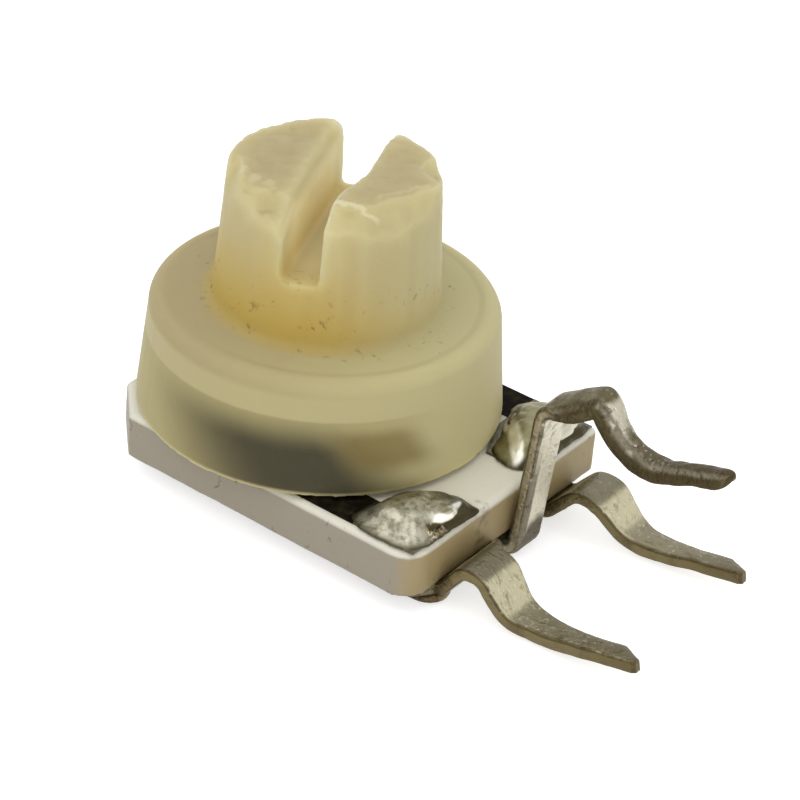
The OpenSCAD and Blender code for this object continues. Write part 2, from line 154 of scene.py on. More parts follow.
def show(name: str, data: bpy.types.ID) -> Piece:
    """Makes an object of a mesh, a lamp or a camera, and links it to the scene."""
    piece = bpy.data.objects.new(name, data)
    bpy.context.scene.collection.objects.link(piece)
    return piece


def applied(piece: Piece) -> bpy.types.Mesh:
    """A new mesh of a piece with its modifiers put through."""
    bpy.context.view_layer.update()
    return bpy.data.meshes.new_from_object(piece.evaluated_get(bpy.context.evaluated_depsgraph_get()))


def solid(name: str, points: Array, quads: Array, triangles: Array) -> Piece:
    """Makes a closed mesh with its faces outwards.

    The solid's volume is the sum over its triangles of a dot (b cross c) over six. Where it comes
    out below zero the faces point inwards, and their order is turned.

    Args:
        name: Name of the piece.
        points: Vertices in millimetres, one row each.
        quads: Four vertex numbers a row.
        triangles: Three vertex numbers a row.

    Returns:
        The new object, at the origin.
    """
    halves = np.concatenate([quads[:, [0, 1, 2]], quads[:, [0, 2, 3]], triangles])
    a, b, c = (points[halves[:, k]] for k in range(3))
    if np.einsum("ij,ij->", a, np.cross(b, c)) < 0:
        quads, triangles = quads[:, ::-1], triangles[:, ::-1]
    mesh = bpy.data.meshes.new(name)
    mesh.from_pydata((points * MM).tolist(), [], quads.tolist() + triangles.tolist())
    mesh.validate()
    mesh.shade_smooth()
    mesh.set_sharp_from_angle(angle=SMOOTH_ANGLE)
    return show(name, mesh)


def ring_quads(rings: int, count: int, wrap: bool = False) -> Array:
    """Vertex numbers of the quads between neighbouring rings.

    Point k of ring i has the number i times the points in a ring, plus k.

    Args:
        rings: How many rings there are.
        count: How many points each ring has.
        wrap: True where the last ring meets the first.

    Returns:
        Four vertex numbers a row.
    """
    row, column = np.meshgrid(np.arange(rings if wrap else rings - 1), np.arange(count), indexing="ij")
    above, beside = (row + 1) % rings, (column + 1) % count
    corners = [(row, column), (row, beside), (above, beside), (above, column)]
    return np.stack([ring * count + point for ring, point in corners], axis=-1).reshape(-1, 4)


def ring_stack(name: str, rings: Array, wrap: bool = False) -> Piece:
    """Makes a solid from closed rings of points.

    Args:
        name: Name of the piece.
        rings: Points of shape (rings, points in a ring, 3), in millimetres.
        wrap: True where the last ring meets the first, as on a tube bent round. Otherwise each end
            is closed with a fan of triangles round its middle.

    Returns:
        The new object.
    """
    total, count = rings.shape[:2]
    points = rings.reshape(-1, 3)
    triangles = np.zeros((0, 3), int)
    if not wrap:
        ends = [rings[0].mean(axis=0), rings[-1].mean(axis=0)]
        first = np.arange(count)
        after = (first + 1) % count
        last = (total - 1) * count
        low = np.stack([np.full(count, total * count), after, first], axis=-1)
        high = np.stack([np.full(count, total * count + 1), last + first, last + after], axis=-1)
        points = np.concatenate([points, ends])
        triangles = np.concatenate([low, high])
    return solid(name, points, ring_quads(total, count, wrap), triangles)


def rounded_profile(corners: Sequence[tuple[float, float, float]], steps: int = 6) -> Array:
    """A polyline with rounded corners.

    Where a corner's radius isn't 0, a quadratic curve takes its place. It starts and ends that far
    from the corner, on the two lines that meet there, and the corner pulls it out.

    Args:
        corners: The polyline's corners as (x, y, radius).
        steps: Points on each rounded corner.

    Returns:
        Points of shape (n, 2).
    """
    out = []
    for k, (x, y, radius) in enumerate(corners):
        here = np.array([x, y])
        if radius == 0 or k in (0, len(corners) - 1):
            out.append(here[None])
            continue
        before = np.array(corners[k - 1][:2]) - here
        after = np.array(corners[k + 1][:2]) - here
        start = here + before / np.linalg.norm(before) * radius
        end = here + after / np.linalg.norm(after) * radius
        t = np.linspace(0, 1, steps)[:, None]
        out.append((1 - t) ** 2 * start + 2 * t * (1 - t) * here + t**2 * end)
    return np.concatenate(out)


def revolve(profile: Array, centre: Sequence[float], count: int) -> Array:
    """Rings of a turned shape.

    A profile point goes round the centre: its radius times the cosine and sine of the angle give x
    and y, and its height gives z.

    Args:
        profile: Points of shape (n, 2), as (radius, height).
        centre: The axis in plan.
        count: Points in each ring.

    Returns:
        Points of shape (n, count, 3).
    """
    angle = np.linspace(0, 2 * np.pi, count, endpoint=False)
    ring = np.stack([np.cos(angle), np.sin(angle), np.zeros(count)], axis=-1)
    rings = profile[:, :1, None] * ring[None]
    rings[..., 2] = profile[:, 1:2]
    return rings + np.array([centre[0], centre[1], 0.0])


def drill(piece: Piece, centre: Sequence[float], radius: float, reach: float = 1.0) -> None:
    """Cuts a round hole along Z through a piece.

    Args:
        piece: The piece.
        centre: The hole's middle in plan.
        radius: The hole's radius.
        reach: How far the hole goes above and below the plate's underside.
    """
    profile = np.array([[radius, -reach], [radius, reach]])
    cutter = ring_stack("cutter", revolve(profile, centre, HOLE_SIDES))
    cut = piece.modifiers.new("hole", "BOOLEAN")
    cut.operation = "DIFFERENCE"
    cut.solver = "EXACT"
    cut.object = cutter
    result = applied(piece)
    piece.modifiers.remove(cut)
    piece.data = result
    bpy.data.objects.remove(cutter)


# ---------------------------------------------------------------------------------------------
# Finishes
# ---------------------------------------------------------------------------------------------


def linear(colour: str) -> tuple[float, float, float, float]:
    """Turns an sRGB hex colour into linear red, green, blue and alpha."""
    parts = [int(colour[k : k + 2], 16) / 255 for k in (1, 3, 5)]
    return (*[c / 12.92 if c <= 0.04045 else ((c + 0.055) / 1.055) ** 2.4 for c in parts], 1.0)


def feed(tree: Tree, node: bpy.types.Node, inputs: dict) -> None:
    """Fills a node's inputs.

    Args:
        tree: The node tree.
        node: The node.
        inputs: Values by socket name or number. A socket as a value is linked, a hex colour is
            turned to linear, and anything else is set on the socket.
    """
    for key, value in inputs.items():
        if isinstance(value, Socket):
            tree.links.new(value, node.inputs[key])
        else:
            node.inputs[key].default_value = linear(value) if isinstance(value, str) else value


def add(tree: Tree, kind: str, inputs: dict | None = None, **settings: object) -> bpy.types.Node:
    """Adds a node to a tree.

    Args:
        tree: The node tree.
        kind: The node's type, such as "ShaderNodeMath".
        inputs: What `feed` puts into the node's inputs.
        settings: Properties of the node itself.

    Returns:
        The new node.
    """
    node = tree.nodes.new(kind)
    for name, value in settings.items():
        setattr(node, name, value)
    feed(tree, node, inputs or {})
    return node


class Surface:
    """A material being built: its tree, its object coordinates in millimetres and its shader."""

    def __init__(self, name: str) -> None:
        """Starts an empty material with a Principled shader.

        Args:
            name: The material's name.
        """
        self.material = bpy.data.materials.new(name)
        self.material.use_nodes = True
        self.tree = self.material.node_tree
        self.tree.nodes.clear()
        self.shader = self.add("ShaderNodeBsdfPrincipled")
        self.add("ShaderNodeOutputMaterial", {0: self.shader.outputs[0]})
        place = self.add("ShaderNodeTexCoord").outputs
        scaled = self.add("ShaderNodeVectorMath", {0: place["Object"], "Scale": 1 / MM}, operation="SCALE")
        self.place = scaled.outputs[0]
        self.x, self.y, self.z = self.add("ShaderNodeSeparateXYZ", {0: self.place}).outputs
        facing = self.add("ShaderNodeSeparateXYZ", {0: place["Normal"]})
        self.facing_x, self.facing_y, self.facing_z = facing.outputs

    def add(self, kind: str, inputs: dict | None = None, **settings: object) -> bpy.types.Node:
        """Adds a node to the material, as the function `add` does."""
        return add(self.tree, kind, inputs, **settings)

    def math(self, operation: str, *values: object) -> Socket:
        """The result of a Math node on those values or sockets."""
        return self.add("ShaderNodeMath", dict(enumerate(values)), operation=operation).outputs[0]

    def plus(self, first: object, second: object) -> Socket:
        """The sum of two values or sockets."""
        return self.math("ADD", first, second)

    def less(self, first: object, second: object) -> Socket:
        """The first value or socket less the second."""
        return self.math("SUBTRACT", first, second)

    def most(self, first: object, second: object) -> Socket:
        """The greater of two values or sockets."""
        return self.math("MAXIMUM", first, second)

    def size(self, value: object) -> Socket:
        """A value or socket without its sign."""
        return self.math("ABSOLUTE", value)

    def times(self, *values: object) -> Socket:
        """The product of two or more values or sockets."""
        result = values[0]
        for value in values[1:]:
            result = self.math("MULTIPLY", result, value)
        return result

    def along(self, x: float, y: float, z: float = 0.0) -> Socket:
        """Distance in millimetres along a direction."""
        node = self.add("ShaderNodeVectorMath", {0: self.place, 1: (x, y, z)}, operation="DOT_PRODUCT")
        return node.outputs["Value"]

    def radius(self, x: float = 0.0, y: float = 0.0) -> Socket:
        """Distance in millimetres from an upright axis."""
        dx, dy = self.less(self.x, x), self.less(self.y, y)
        return self.math("SQRT", self.plus(self.times(dx, dx), self.times(dy, dy)))

    def step(self, value: object, low: float, high: float) -> Socket:
        """A soft step of a value from 0 at `low` to 1 at `high`, which may be the lower number."""
        span = {"Value": value, "From Min": low, "From Max": high}
        return self.add("ShaderNodeMapRange", span, interpolation_type="SMOOTHSTEP").outputs[0]

    def noise(self, grain: float, detail: float = 3.0, stretch: Sequence[float] = (1, 1, 1)) -> Socket:
        """Noise from 0 to 1.

        Args:
            grain: About the size of its cells in millimetres.
            detail: How many finer layers it has.
            stretch: Scale of the place along each axis. Below 1 it draws the cells out.

        Returns:
            The noise.
        """
        place = self.add("ShaderNodeMapping", {"Vector": self.place, "Scale": tuple(stretch)}).outputs[0]
        layers = {"Vector": place, "Scale": 1 / grain, "Detail": detail, "Roughness": 0.6}
        return self.add("ShaderNodeTexNoise", layers).outputs[0]

    def mix(self, share: object, first: object, second: object) -> Socket:
        """Two colours mixed by a share from 0 to 1."""
        return self.add("ShaderNodeMix", {0: share, 6: first, 7: second}, data_type="RGBA").outputs[2]

    def bump(self, height: object, depth: float) -> None:
        """Gives the shader a bump of that depth in millimetres."""
        node = self.add("ShaderNodeBump", {"Height": height, "Distance": depth * MM, "Strength": 1.0})
        self.set(Normal=node.outputs[0])

    def set(self, **values: object) -> None:
        """Sets or links inputs of the shader. Underscores in the names stand for spaces."""
        feed(self.tree, self.shader, {key.replace("_", " "): value for key, value in values.items()})


@dataclass(frozen=True)
class NaturalNylon:
    """Moulded natural nylon, gone yellow: milky, with light wandering a millimetre inside it.

    The shaft is lighter than the disc and amber round its foot. One side carries painted light and
    the other painted shade, and the slot is painted lighter for the light through its walls. The
    skirt is painted dark where the hollow and the spring stand behind it, partly as painted shade.
    The fracture is dull, with pale stressed lips.
    """

    # shade and light: painted shade and painted light, set by lit_side
    shade: str = "#a99c74"
    light: str = "#bcb488"
    # band: the wall above the roof, lighter and partly painted highlight
    band: str = "#c3b88b"
    post: str = "#bcb287"
    broken: str = "#a89b74"
    amber: str = "#bca252"
    # glow and deep: painted light in the slot
    glow: str = "#e6daa8"
    deep: str = "#efe5c0"
    lip: str = "#d8d3b4"
    # thin: painted shade of the thin skirt wall over the hollow
    thin: str = "#a89d6c"
    # hollow and blob: painted shade of the hollow, and the spring behind the skirt
    hollow: str = "#3f3a26"
    blob: str = "#7d6b37"
    rim: str = "#c9bd8a"
    dirt: str = "#6b5a2a"
    skirt_z: float = 1.48
    roof_z: float = 3.6
    top_z: float = DISC_TOP_Z
    foot_r: float = SHAFT_R
    slot_turn: float = SLOT_TURN
    lit_side: tuple[float, float] = (0.82, 0.57)

    def moulding(self, s: Surface) -> Socket:
        """The clean colours: disc, shaft, amber foot, slot and fracture, with painted light and shade.

        Each is mixed in by a share, the product of soft steps of the height, the distance from the
        axis and the distances along and across the slot.

        Args:
            s: The surface.

        Returns:
            The colour.
        """
        cloud = s.noise(1.4)
        # Painted light and shade: lighter towards lit_side, darker away from it
        side = s.plus(s.along(*self.lit_side), s.times(cloud, 1.5))
        colour = s.mix(s.step(side, -3.6, 4.6), self.shade, self.light)
        height = s.less(s.z, self.top_z)
        shaft = s.times(s.step(s.radius(), self.foot_r + 0.35, self.foot_r), s.step(height, 0.0, 0.8))
        colour = s.mix(s.times(shaft, 0.9), colour, self.post)
        # Amber: deepest at the foot, strongest away from the terminals
        depth = s.step(s.plus(height, s.times(cloud, 1.4)), 4.0, 1.8)
        front = s.step(s.along(*self.lit_side), 2.7, -0.3)
        near = s.step(s.radius(), self.foot_r + 0.45, self.foot_r - 0.1)
        foot = s.step(height, 1.3, 0.4)
        tall = s.times(front, s.step(height, 3.0, 0.8), 0.35)
        reach = s.plus(tall, s.plus(s.times(front, 0.4), s.times(foot, 0.25)))
        colour = s.mix(s.times(depth, near, reach), colour, self.amber)
        # Painted light: the slot's walls and floor are painted lighter, for the light that comes through its
        # thin walls
        across = s.along(-math.sin(self.slot_turn), math.cos(self.slot_turn))
        along = s.along(math.cos(self.slot_turn), math.sin(self.slot_turn))
        slot = s.times(s.step(s.size(across), 0.6, 0.5), s.step(height, 1.7, 1.8), shaft)
        glow = s.mix(s.step(height, 1.9, 2.6), self.glow, self.deep)
        inner = s.step(s.radius(), 2.9, 1.6)
        colour = s.mix(s.times(slot, s.step(height, 3.75, 3.0), inner, 0.8), colour, glow)
        # Fracture, and the pale lips where it turns down
        high = s.step(height, 2.2, 2.7)
        beside = s.most(s.step(across, 0.55, 1.0), s.step(across, -0.5, -0.6))
        broken = s.times(high, s.step(s.facing_z, 0.8, 0.98), beside)
        colour = s.mix(s.times(broken, 0.7), colour, self.broken)
        wobble = s.times(s.less(s.noise(0.5), 0.5), 0.5)
        front_lip = s.size(s.plus(s.plus(along, 1.85), wobble))
        front_lip = s.times(
            s.step(front_lip, 0.09, 0.02), s.step(across, -1.75, -1.6), s.step(across, -0.4, -0.5)
        )
        slant = s.less(s.x, s.plus(s.times(s.y, 0.35), 2.1))
        side_lip = s.size(s.plus(slant, wobble))
        side_lip = s.times(s.step(side_lip, 0.1, 0.03), s.step(s.y, -0.8, -0.6), s.step(s.y, 1.2, 0.7), 0.3)
        spots = [s.radius(x, y) for x, y in ((-1.5, -1.85), (-1.0, -1.98), (-0.6, -1.9))]
        spot = s.math("MINIMUM", spots[0], s.math("MINIMUM", spots[1], spots[2]))
        curl = s.times(s.step(s.plus(spot, wobble), 0.2, 0.05), 0.5)
        pale = s.most(curl, s.most(front_lip, side_lip))
        return s.mix(s.times(pale, high, 0.5), colour, self.lip)

    def skirt(self, s: Surface, colour: Socket) -> Socket:
        """Adds the skirt's colours: the wall above the roof, lighter and partly painted highlight,
        painted shade below the roof, the hollow's painted shade and the spring behind the thin
        wall, a paler line at the lower edge and a faint darker ring on the disc's upper face.

        Each is mixed in by a share, the product of soft steps of the height and of the angle round
        the axis.

        Args:
            s: The surface.
            colour: The clean colour.

        Returns:
            The colour with the skirt's shades.
        """
        turn = s.plus(s.math("ARCTAN2", s.y, s.x), s.times(s.less(s.z, 2.4), 0.15))
        outside = s.step(s.radius(), self.foot_r + 1.2, self.foot_r + 1.5)
        wander = s.times(s.less(s.noise(1.8), 0.5), 0.15)
        height = s.plus(s.z, wander)
        below = s.step(s.z, self.roof_z + 0.02, self.roof_z - 0.06)
        # The wall above the roof: lighter, partly painted highlight on the disc's rounded edge
        colour = s.mix(s.times(outside, s.step(s.z, 4.35, 4.1), 0.6), colour, self.band)
        # Painted shade below the roof, strongest away from lit_side
        under = s.times(outside, below)
        unlit_side = s.step(s.along(*self.lit_side), 3.4, 1.5)
        colour = s.mix(s.times(under, s.plus(s.times(unlit_side, 0.65), 0.05)), colour, self.thin)
        # Painted shade of the hollow seen through the thin wall, with the dark spring behind it
        spread = s.times(s.step(turn, -2.1, -1.2), s.step(turn, -0.42, -0.88))
        dark = s.times(under, spread, s.step(height, self.roof_z + 0.25, self.roof_z - 0.95))
        colour = s.mix(s.times(dark, 0.95), colour, self.hollow)
        # A lower brown patch: the spring behind the wall, and its painted shade
        second = s.times(s.step(turn, -0.84, -0.6), s.step(turn, -0.18, -0.4))
        inside = s.step(height, self.roof_z - 0.1, self.roof_z - 0.6)
        low = s.times(under, second, inside, s.step(height, 1.9, 2.5))
        colour = s.mix(s.times(low, 0.7), colour, self.blob)
        line = s.times(outside, s.step(s.z, self.skirt_z + 0.16, self.skirt_z + 0.04))
        colour = s.mix(s.times(line, 0.75), colour, self.rim)
        # A faint darker ring on the disc's upper face, 4.08 mm from the axis
        ring_line = s.size(s.plus(s.radius(), s.times(wander, 0.4)))
        ring_line = s.size(s.less(ring_line, 4.08))
        marks = s.times(s.step(ring_line, 0.14, 0.02), s.step(s.z, 4.5, 4.55), s.step(turn, -1.5, -0.8))
        return s.mix(s.times(marks, 0.12), colour, self.dirt)

    def build(self) -> Material:
        """Builds the material: each colour is mixed in by soft steps of place, facing and noise.

        Returns:
            The material.
        """
        s = Surface("moulded_natural_nylon")
        colour = self.skirt(s, self.moulding(s))
        specks = s.step(s.noise(0.22, 3.0), 0.56, 0.72)
        ring = s.times(s.step(s.radius(), 3.8, 3.1), s.step(s.radius(), 2.2, 2.7), s.step(s.z, 6.6, 5.2))
        mouth = s.step(s.plus(s.radius(1.0, -2.5), s.size(s.less(s.z, 6.5))), 0.8, 0.3)
        dirty = s.most(s.times(ring, s.step(s.noise(0.8), 0.47, 0.6)), s.step(s.noise(1.7), 0.66, 0.72))
        colour = s.mix(s.times(specks, s.most(dirty, mouth), 0.7), colour, self.dirt)
        fine = s.noise(0.12, 4.0)
        s.set(Base_Color=colour, Roughness=s.plus(s.times(fine, 0.16), 0.5), Specular_IOR_Level=0.3)
        deep = s.step(s.z, self.top_z - 0.3, self.top_z + 1.0)
        scale = s.times(s.plus(s.times(deep, 2.2), 0.35), MM)
        s.set(Subsurface_Weight=0.9, Subsurface_Radius=(1.0, 0.87, 0.65), Subsurface_Scale=scale)
        s.set(IOR=1.45)
        s.bump(s.plus(fine, s.times(s.noise(0.45), 1.2)), 0.01)
        return s.material


@dataclass(frozen=True)
class Steatite:
    """Pressed and fired steatite: unglazed, chalky off-white, with brown grease along its edges."""

    body: str = "#dbd8c6"
    # side and end: painted shade on upright faces; the end is also brown with grease
    side: str = "#968e7d"
    end: str = "#a18f66"
    # edge: painted highlight on the rounded edges
    edge: str = "#ddd9cd"
    grime: str = "#54452b"
    near_x: float = PLATE_END_X
    top_z: float = 1.32

    def build(self) -> Material:
        """Builds the material: each colour is mixed in by soft steps of place, facing and noise.

        Returns:
            The material.
        """
        s = Surface("pressed_steatite")
        cloud = s.noise(0.9)
        fine = s.noise(0.07, 5.0)
        # Painted shade on the upright faces; the end face is browner, partly grease and partly painted shade
        upright = s.step(s.facing_z, 0.75, 0.3)
        colour = s.mix(upright, self.body, self.side)
        colour = s.mix(s.times(s.step(s.facing_x, 0.05, 0.95), upright), colour, self.end)
        # Painted highlight along the rounded edges
        edge = s.times(s.step(s.facing_z, 0.2, 0.45), s.step(s.facing_z, 0.97, 0.8))
        colour = s.mix(s.times(edge, 0.45), colour, self.edge)
        # Grease gathers low on the terminals' side, in specks, in hairlines on upright faces and by a lead
        end = s.step(s.x, self.near_x - 0.4, self.near_x - 0.05)
        low = s.step(s.plus(s.z, s.times(cloud, 0.5)), self.top_z * 0.62, 0.12)
        colour = s.mix(s.times(end, low, 0.1), colour, self.grime)
        specks = s.times(s.step(s.noise(0.11, 2.0), 0.67, 0.73), s.step(s.noise(1.3), 0.48, 0.6))
        hair = s.size(s.less(s.noise(1.9, 4.0), 0.5))
        patchy = s.step(s.noise(1.1, 1.0, (1.3, 1, 1)), 0.58, 0.66)
        hair = s.times(upright, s.step(hair, 0.012, 0.003), patchy)
        smudge = s.times(s.step(s.radius(6.15, -1.15), 0.42, 0.1), s.step(s.noise(0.25), 0.4, 0.65))
        marks = s.most(s.most(specks, hair), smudge)
        colour = s.mix(s.times(marks, 0.65), colour, self.grime)
        s.set(Base_Color=colour, Roughness=s.plus(s.times(fine, 0.2), 0.42))
        s.set(Subsurface_Weight=0.08, Subsurface_Radius=(1.0, 0.8, 0.7), Subsurface_Scale=0.3 * MM, IOR=1.5)
        s.bump(s.plus(fine, cloud), 0.012)
        return s.material


@dataclass(frozen=True)
class CarbonFilm:
    """Printed and fired carbon film: nearly black brown, dull, with a printed grain."""

    dark: str = "#0c0702"
    worn: str = "#2f2918"

    def build(self) -> Material:
        """Builds the material: each colour is mixed in by soft steps of place, facing and noise.

        Returns:
            The material.
        """
        s = Surface("fired_carbon_film")
        cloud = s.noise(0.35, 5.0)
        s.set(Base_Color=s.mix(s.step(cloud, 0.4, 0.75), self.dark, self.worn))
        s.set(Roughness=s.plus(s.times(cloud, 0.3), 0.6), Specular_IOR_Level=0.08)
        s.bump(s.noise(0.06, 3.0), 0.01)
        return s.material


class Wear(Enum):
    """How far a metal finish has gone: the share of tarnish, and the depth of its roughness in mm."""

    CLEAN = (0.3, 0.005)
    HANDLED = (0.65, 0.03)
    CRUSTED = (0.65, 0.035)


@dataclass(frozen=True)
class Metal:
    """A metal skin: painted highlight on slopes, painted shade on tops and undersides, brown sheared sides.

    Places are in millimetres. The surface is darker up to darken_to_x, and grime builds from
    tail_x on, up to the share `tail`. The crest's colour, a painted shade, lies above crest_z, on
    flat tops or up to crest_x on any face. `stain_and_shade` is the middle of a dark patch, partly
    grime and partly painted shade where the post meets the plate. `worn` is the range of |facing_y|
    over which the painted shade on the side faces sets in; the sheared sides' brown is partly
    painted shade. The post is what stands before lead_x, darker along its near edge up to
    post_edge_y, and `glints` is the share of bright specks on the lead after it.
    """

    name: str
    # bright and shaded_top: painted highlight on slopes, painted shade on upward faces
    bright: str
    shaded_top: str
    sheared: str
    tarnish: str
    roughness: float
    wear: Wear
    grain: float = 0.35
    stretch: tuple[float, float, float] = (1.0, 1.0, 1.0)
    grime: str = "#4a3f29"
    darken_to_x: float = 0.0
    crest: str = "#77725e"
    crest_z: float = 0.5
    crest_x: float = -99.0
    stain_and_shade: tuple[float, float, float] = (0.0, 0.0, -9.0)
    post: str = "#aba083"
    worn: tuple[float, float] = (0.15, 0.45)
    lead_x: float = 0.0
    tip_x: float = 12.0
    tail_x: float = 9.0
    tail: float = 0.5
    post_edge_y: float = -99.0
    glints: float = 0.3
    glint: str = "#ebe7d6"

    def build(self) -> Material:
        """Builds the material: each colour is mixed in by soft steps of place, facing and noise.

        Returns:
            The material.
        """
        s = Surface(self.name)
        share, depth = self.wear.value
        patches = s.step(s.noise(self.grain, 4.0, self.stretch), 0.5, 0.75)
        fine = s.noise(0.09, 4.0, self.stretch)
        # Painted highlight on the slopes, painted shade on the upward faces
        colour = s.mix(s.step(s.facing_z, 0.72, 0.95), self.bright, self.shaded_top)
        lead = s.step(s.x, self.lead_x + 0.9, self.lead_x + 1.4)
        glints = s.times(s.step(s.noise(0.14, 2.0), 0.58, 0.66), lead)
        colour = s.mix(s.times(glints, self.glints), colour, self.glint)
        # The sheared sides and the tip's end: the cut metal's brown, and painted shade
        tip = s.times(s.step(s.x, self.tip_x - 0.7, self.tip_x - 0.5), s.step(s.facing_x, 0.3, 0.6))
        sideways = s.size(s.facing_y)
        flank = s.step(sideways, self.worn[0] + 0.35, self.worn[1] + 0.35)
        sheared = s.mix(s.step(s.x, self.lead_x, self.lead_x + 0.3), self.post, self.sheared)
        colour = s.mix(s.most(flank, tip), colour, sheared)
        # Painted shade on the undersides in the tarnish colour, and real tarnish in patches
        under = s.step(s.facing_z, -0.2, -0.6)
        colour = s.mix(s.most(s.times(patches, share), s.times(under, 0.6)), colour, self.tarnish)
        # A dark patch, partly grime and partly painted shade where the post meets the plate
        far = s.add("ShaderNodeVectorMath", {0: s.place, 1: self.stain_and_shade}, operation="DISTANCE")
        stain_and_shade_share = s.step(s.plus(far.outputs["Value"], s.times(s.noise(0.4), 0.5)), 1.15, 0.75)
        # Painted shade on the crest
        flat = s.most(s.step(s.facing_z, 0.78, 0.93), s.step(s.x, self.crest_x + 0.3, self.crest_x))
        crest = s.times(s.step(s.z, self.crest_z, self.crest_z + 0.2), flat)
        colour = s.mix(s.times(crest, 0.7), colour, self.crest)
        # Painted shade along the rounded edges of the side faces. The surface is also darker up to
        # darken_to_x and along the post's near edge, dark in the stain_and_shade patch, and grimy
        # from tail_x on
        edge_shade = s.times(s.step(sideways, *self.worn), s.step(sideways, 0.995, 0.9))
        edge_shade = s.times(edge_shade, s.step(s.noise(0.4), 0.25, 0.45))
        darkened = s.step(s.plus(s.x, s.noise(0.5)), self.darken_to_x + 1.0, self.darken_to_x + 0.3)
        darkened = s.most(s.times(darkened, 0.75), s.times(stain_and_shade_share, 0.95))
        darkened = s.most(darkened, s.times(s.step(s.x, self.tail_x, self.tail_x + 3.2), self.tail))
        # Darker along the near edge of the post's face, up to post_edge_y
        post_edge_dark = s.step(s.plus(s.y, s.times(s.noise(0.5), 0.12)), self.post_edge_y + 0.14, self.post_edge_y + 0.06)
        post_edge_dark = s.times(post_edge_dark, s.step(s.facing_x, 0.5, 0.8), s.step(s.x, self.lead_x, self.lead_x - 0.2), 0.8)
        darkened = s.most(darkened, post_edge_dark)
        colour = s.mix(s.most(s.times(edge_shade, 0.8), darkened), colour, self.grime)
        s.set(Base_Color=colour, Metallic=1.0)
        colour = s.mix(s.times(s.step(fine, 0.5, 0.7), 0.35), colour, self.tarnish)
        dull = s.plus(s.times(patches, 0.15), self.roughness)
        s.set(Roughness=s.plus(dull, s.times(fine, 0.12)))
        s.bump(s.plus(fine, patches), depth)
        return s.material


@dataclass(frozen=True)
class SolderSkin:
    """Old tin-lead solder: grey-green foot, copper brown hollow, painted highlights and painted shade."""

    bright: str = "#b5b2a0"
    dull: str = "#827e69"
    foot: str = "#45402a"
    # crown: the colour of the painted highlights
    crown: str = "#f0eee2"
    olive: str = "#8d8760"
    copper: str = "#9c8867"
    plate_z: float = FILM_TOP_Z

    def build(self) -> Material:
        """Builds the material: each colour is mixed in by soft steps of place, facing and noise.

        Returns:
            The material.
        """
        s = Surface("old_tin_lead_solder")
        cloud = s.noise(0.3, 4.0)
        fine = s.noise(0.1, 4.0)
        height = s.less(s.z, self.plate_z)
        colour = s.mix(s.step(cloud, 0.4, 0.62), self.bright, self.dull)
        # The joint behind is olive, with one painted highlight line; the one in front has painted shade
        # towards the rotor
        back = s.step(s.y, 0.0, 0.2)
        colour = s.mix(s.times(back, 0.75), colour, self.olive)
        highlight_streak = s.size(s.less(s.along(1.0, 1.0), 6.85))
        colour = s.mix(s.times(back, s.step(highlight_streak, 0.3, 0.1)), colour, self.crown)
        shade = s.most(s.step(s.radius(), 5.8, 5.25), s.step(s.along(0.35, 1.0), -0.45, 0.05))
        front = s.step(s.y, 0.0, -0.2)
        colour = s.mix(s.times(shade, front, 0.8), colour, self.foot)
        # Painted highlight on the lip and on the back joint's rim, with copper in the hollow under the lip
        ridge_highlight = s.times(s.step(s.x, 5.98, 6.1), s.step(height, 0.38, 0.44), s.step(height, 0.62, 0.56), front)
        ridge_highlight = s.times(ridge_highlight, s.step(s.y, -1.0, -1.3), s.step(s.y, -3.2, -2.9))
        colour = s.mix(ridge_highlight, colour, self.crown)
        # Painted highlight on the back joint's rim
        rim = s.times(s.step(s.x, 6.0, 6.2), s.step(height, 0.3, 0.44), back)
        colour = s.mix(s.times(rim, 0.5), colour, self.crown)
        # The hollow under the lip: painted shade, with copper and painted highlight specks
        hollow = s.times(s.step(s.x, 5.8, 5.95), s.step(height, 0.42, 0.36), s.step(s.y, -3.5, -3.15))
        ragged_shade = s.times(s.step(cloud, 0.6, 0.45), s.step(s.y, -2.5, -2.8))
        spots = s.mix(s.step(fine, 0.52, 0.62), self.copper, self.crown)
        colour = s.mix(hollow, colour, s.mix(ragged_shade, self.foot, spots))
        edge = s.step(s.plus(height, s.times(cloud, 0.1)), 0.18, 0.07)
        colour = s.mix(s.times(edge, 0.9), colour, self.foot)
        s.set(Base_Color=colour, Metallic=1.0)
        s.set(Roughness=s.plus(s.times(fine, 0.2), 0.3))
        s.bump(s.plus(fine, cloud), 0.012)
        return s.material


NYLON = NaturalNylon()
STEATITE = Steatite()
CARBON = CarbonFilm()
SILVER = Metal("fired_silver_film", "#8d8a78", "#7b7764", "#5f5a44", "#4f4b38", 0.45, Wear.HANDLED, 0.3)
TIN = Metal(
    "tin_plated_brass",
    bright="#c7c0a1",
    shaded_top="#8f8870",
    sheared="#746949",
    tarnish="#746a50",
    roughness=0.33,
    wear=Wear.HANDLED,
    grain=0.22,
    stretch=(0.55, 1.0, 1.0),
    darken_to_x=6.55,
)
OLD_TIN = Metal(
    "solder_dipped_brass",
    bright="#d6d1bd",
    shaded_top="#857e68",
    sheared="#4f4833",
    tarnish="#665e46",
    roughness=0.38,
    wear=Wear.CRUSTED,
    grain=0.2,
    crest="#5c553b",
    crest_z=4.1,
    crest_x=8.3,
    stain_and_shade=(6.85, 0.6, -0.25),
    worn=(0.4, 0.58),
    lead_x=7.1,
    tail_x=7.7,
    tail=0.8,
    post_edge_y=0.16,
    glints=0.9,
)
BRASS = Metal("worn_brass", "#8f8060", "#857655", "#6b5d40", "#55492f", 0.36, Wear.HANDLED, 0.25)
BRONZE = Metal("phosphor_bronze", "#a98350", "#a07c4c", "#8a6a3e", "#5f4a2c", 0.35, Wear.CLEAN, 0.5)
SOLDER = SolderSkin()


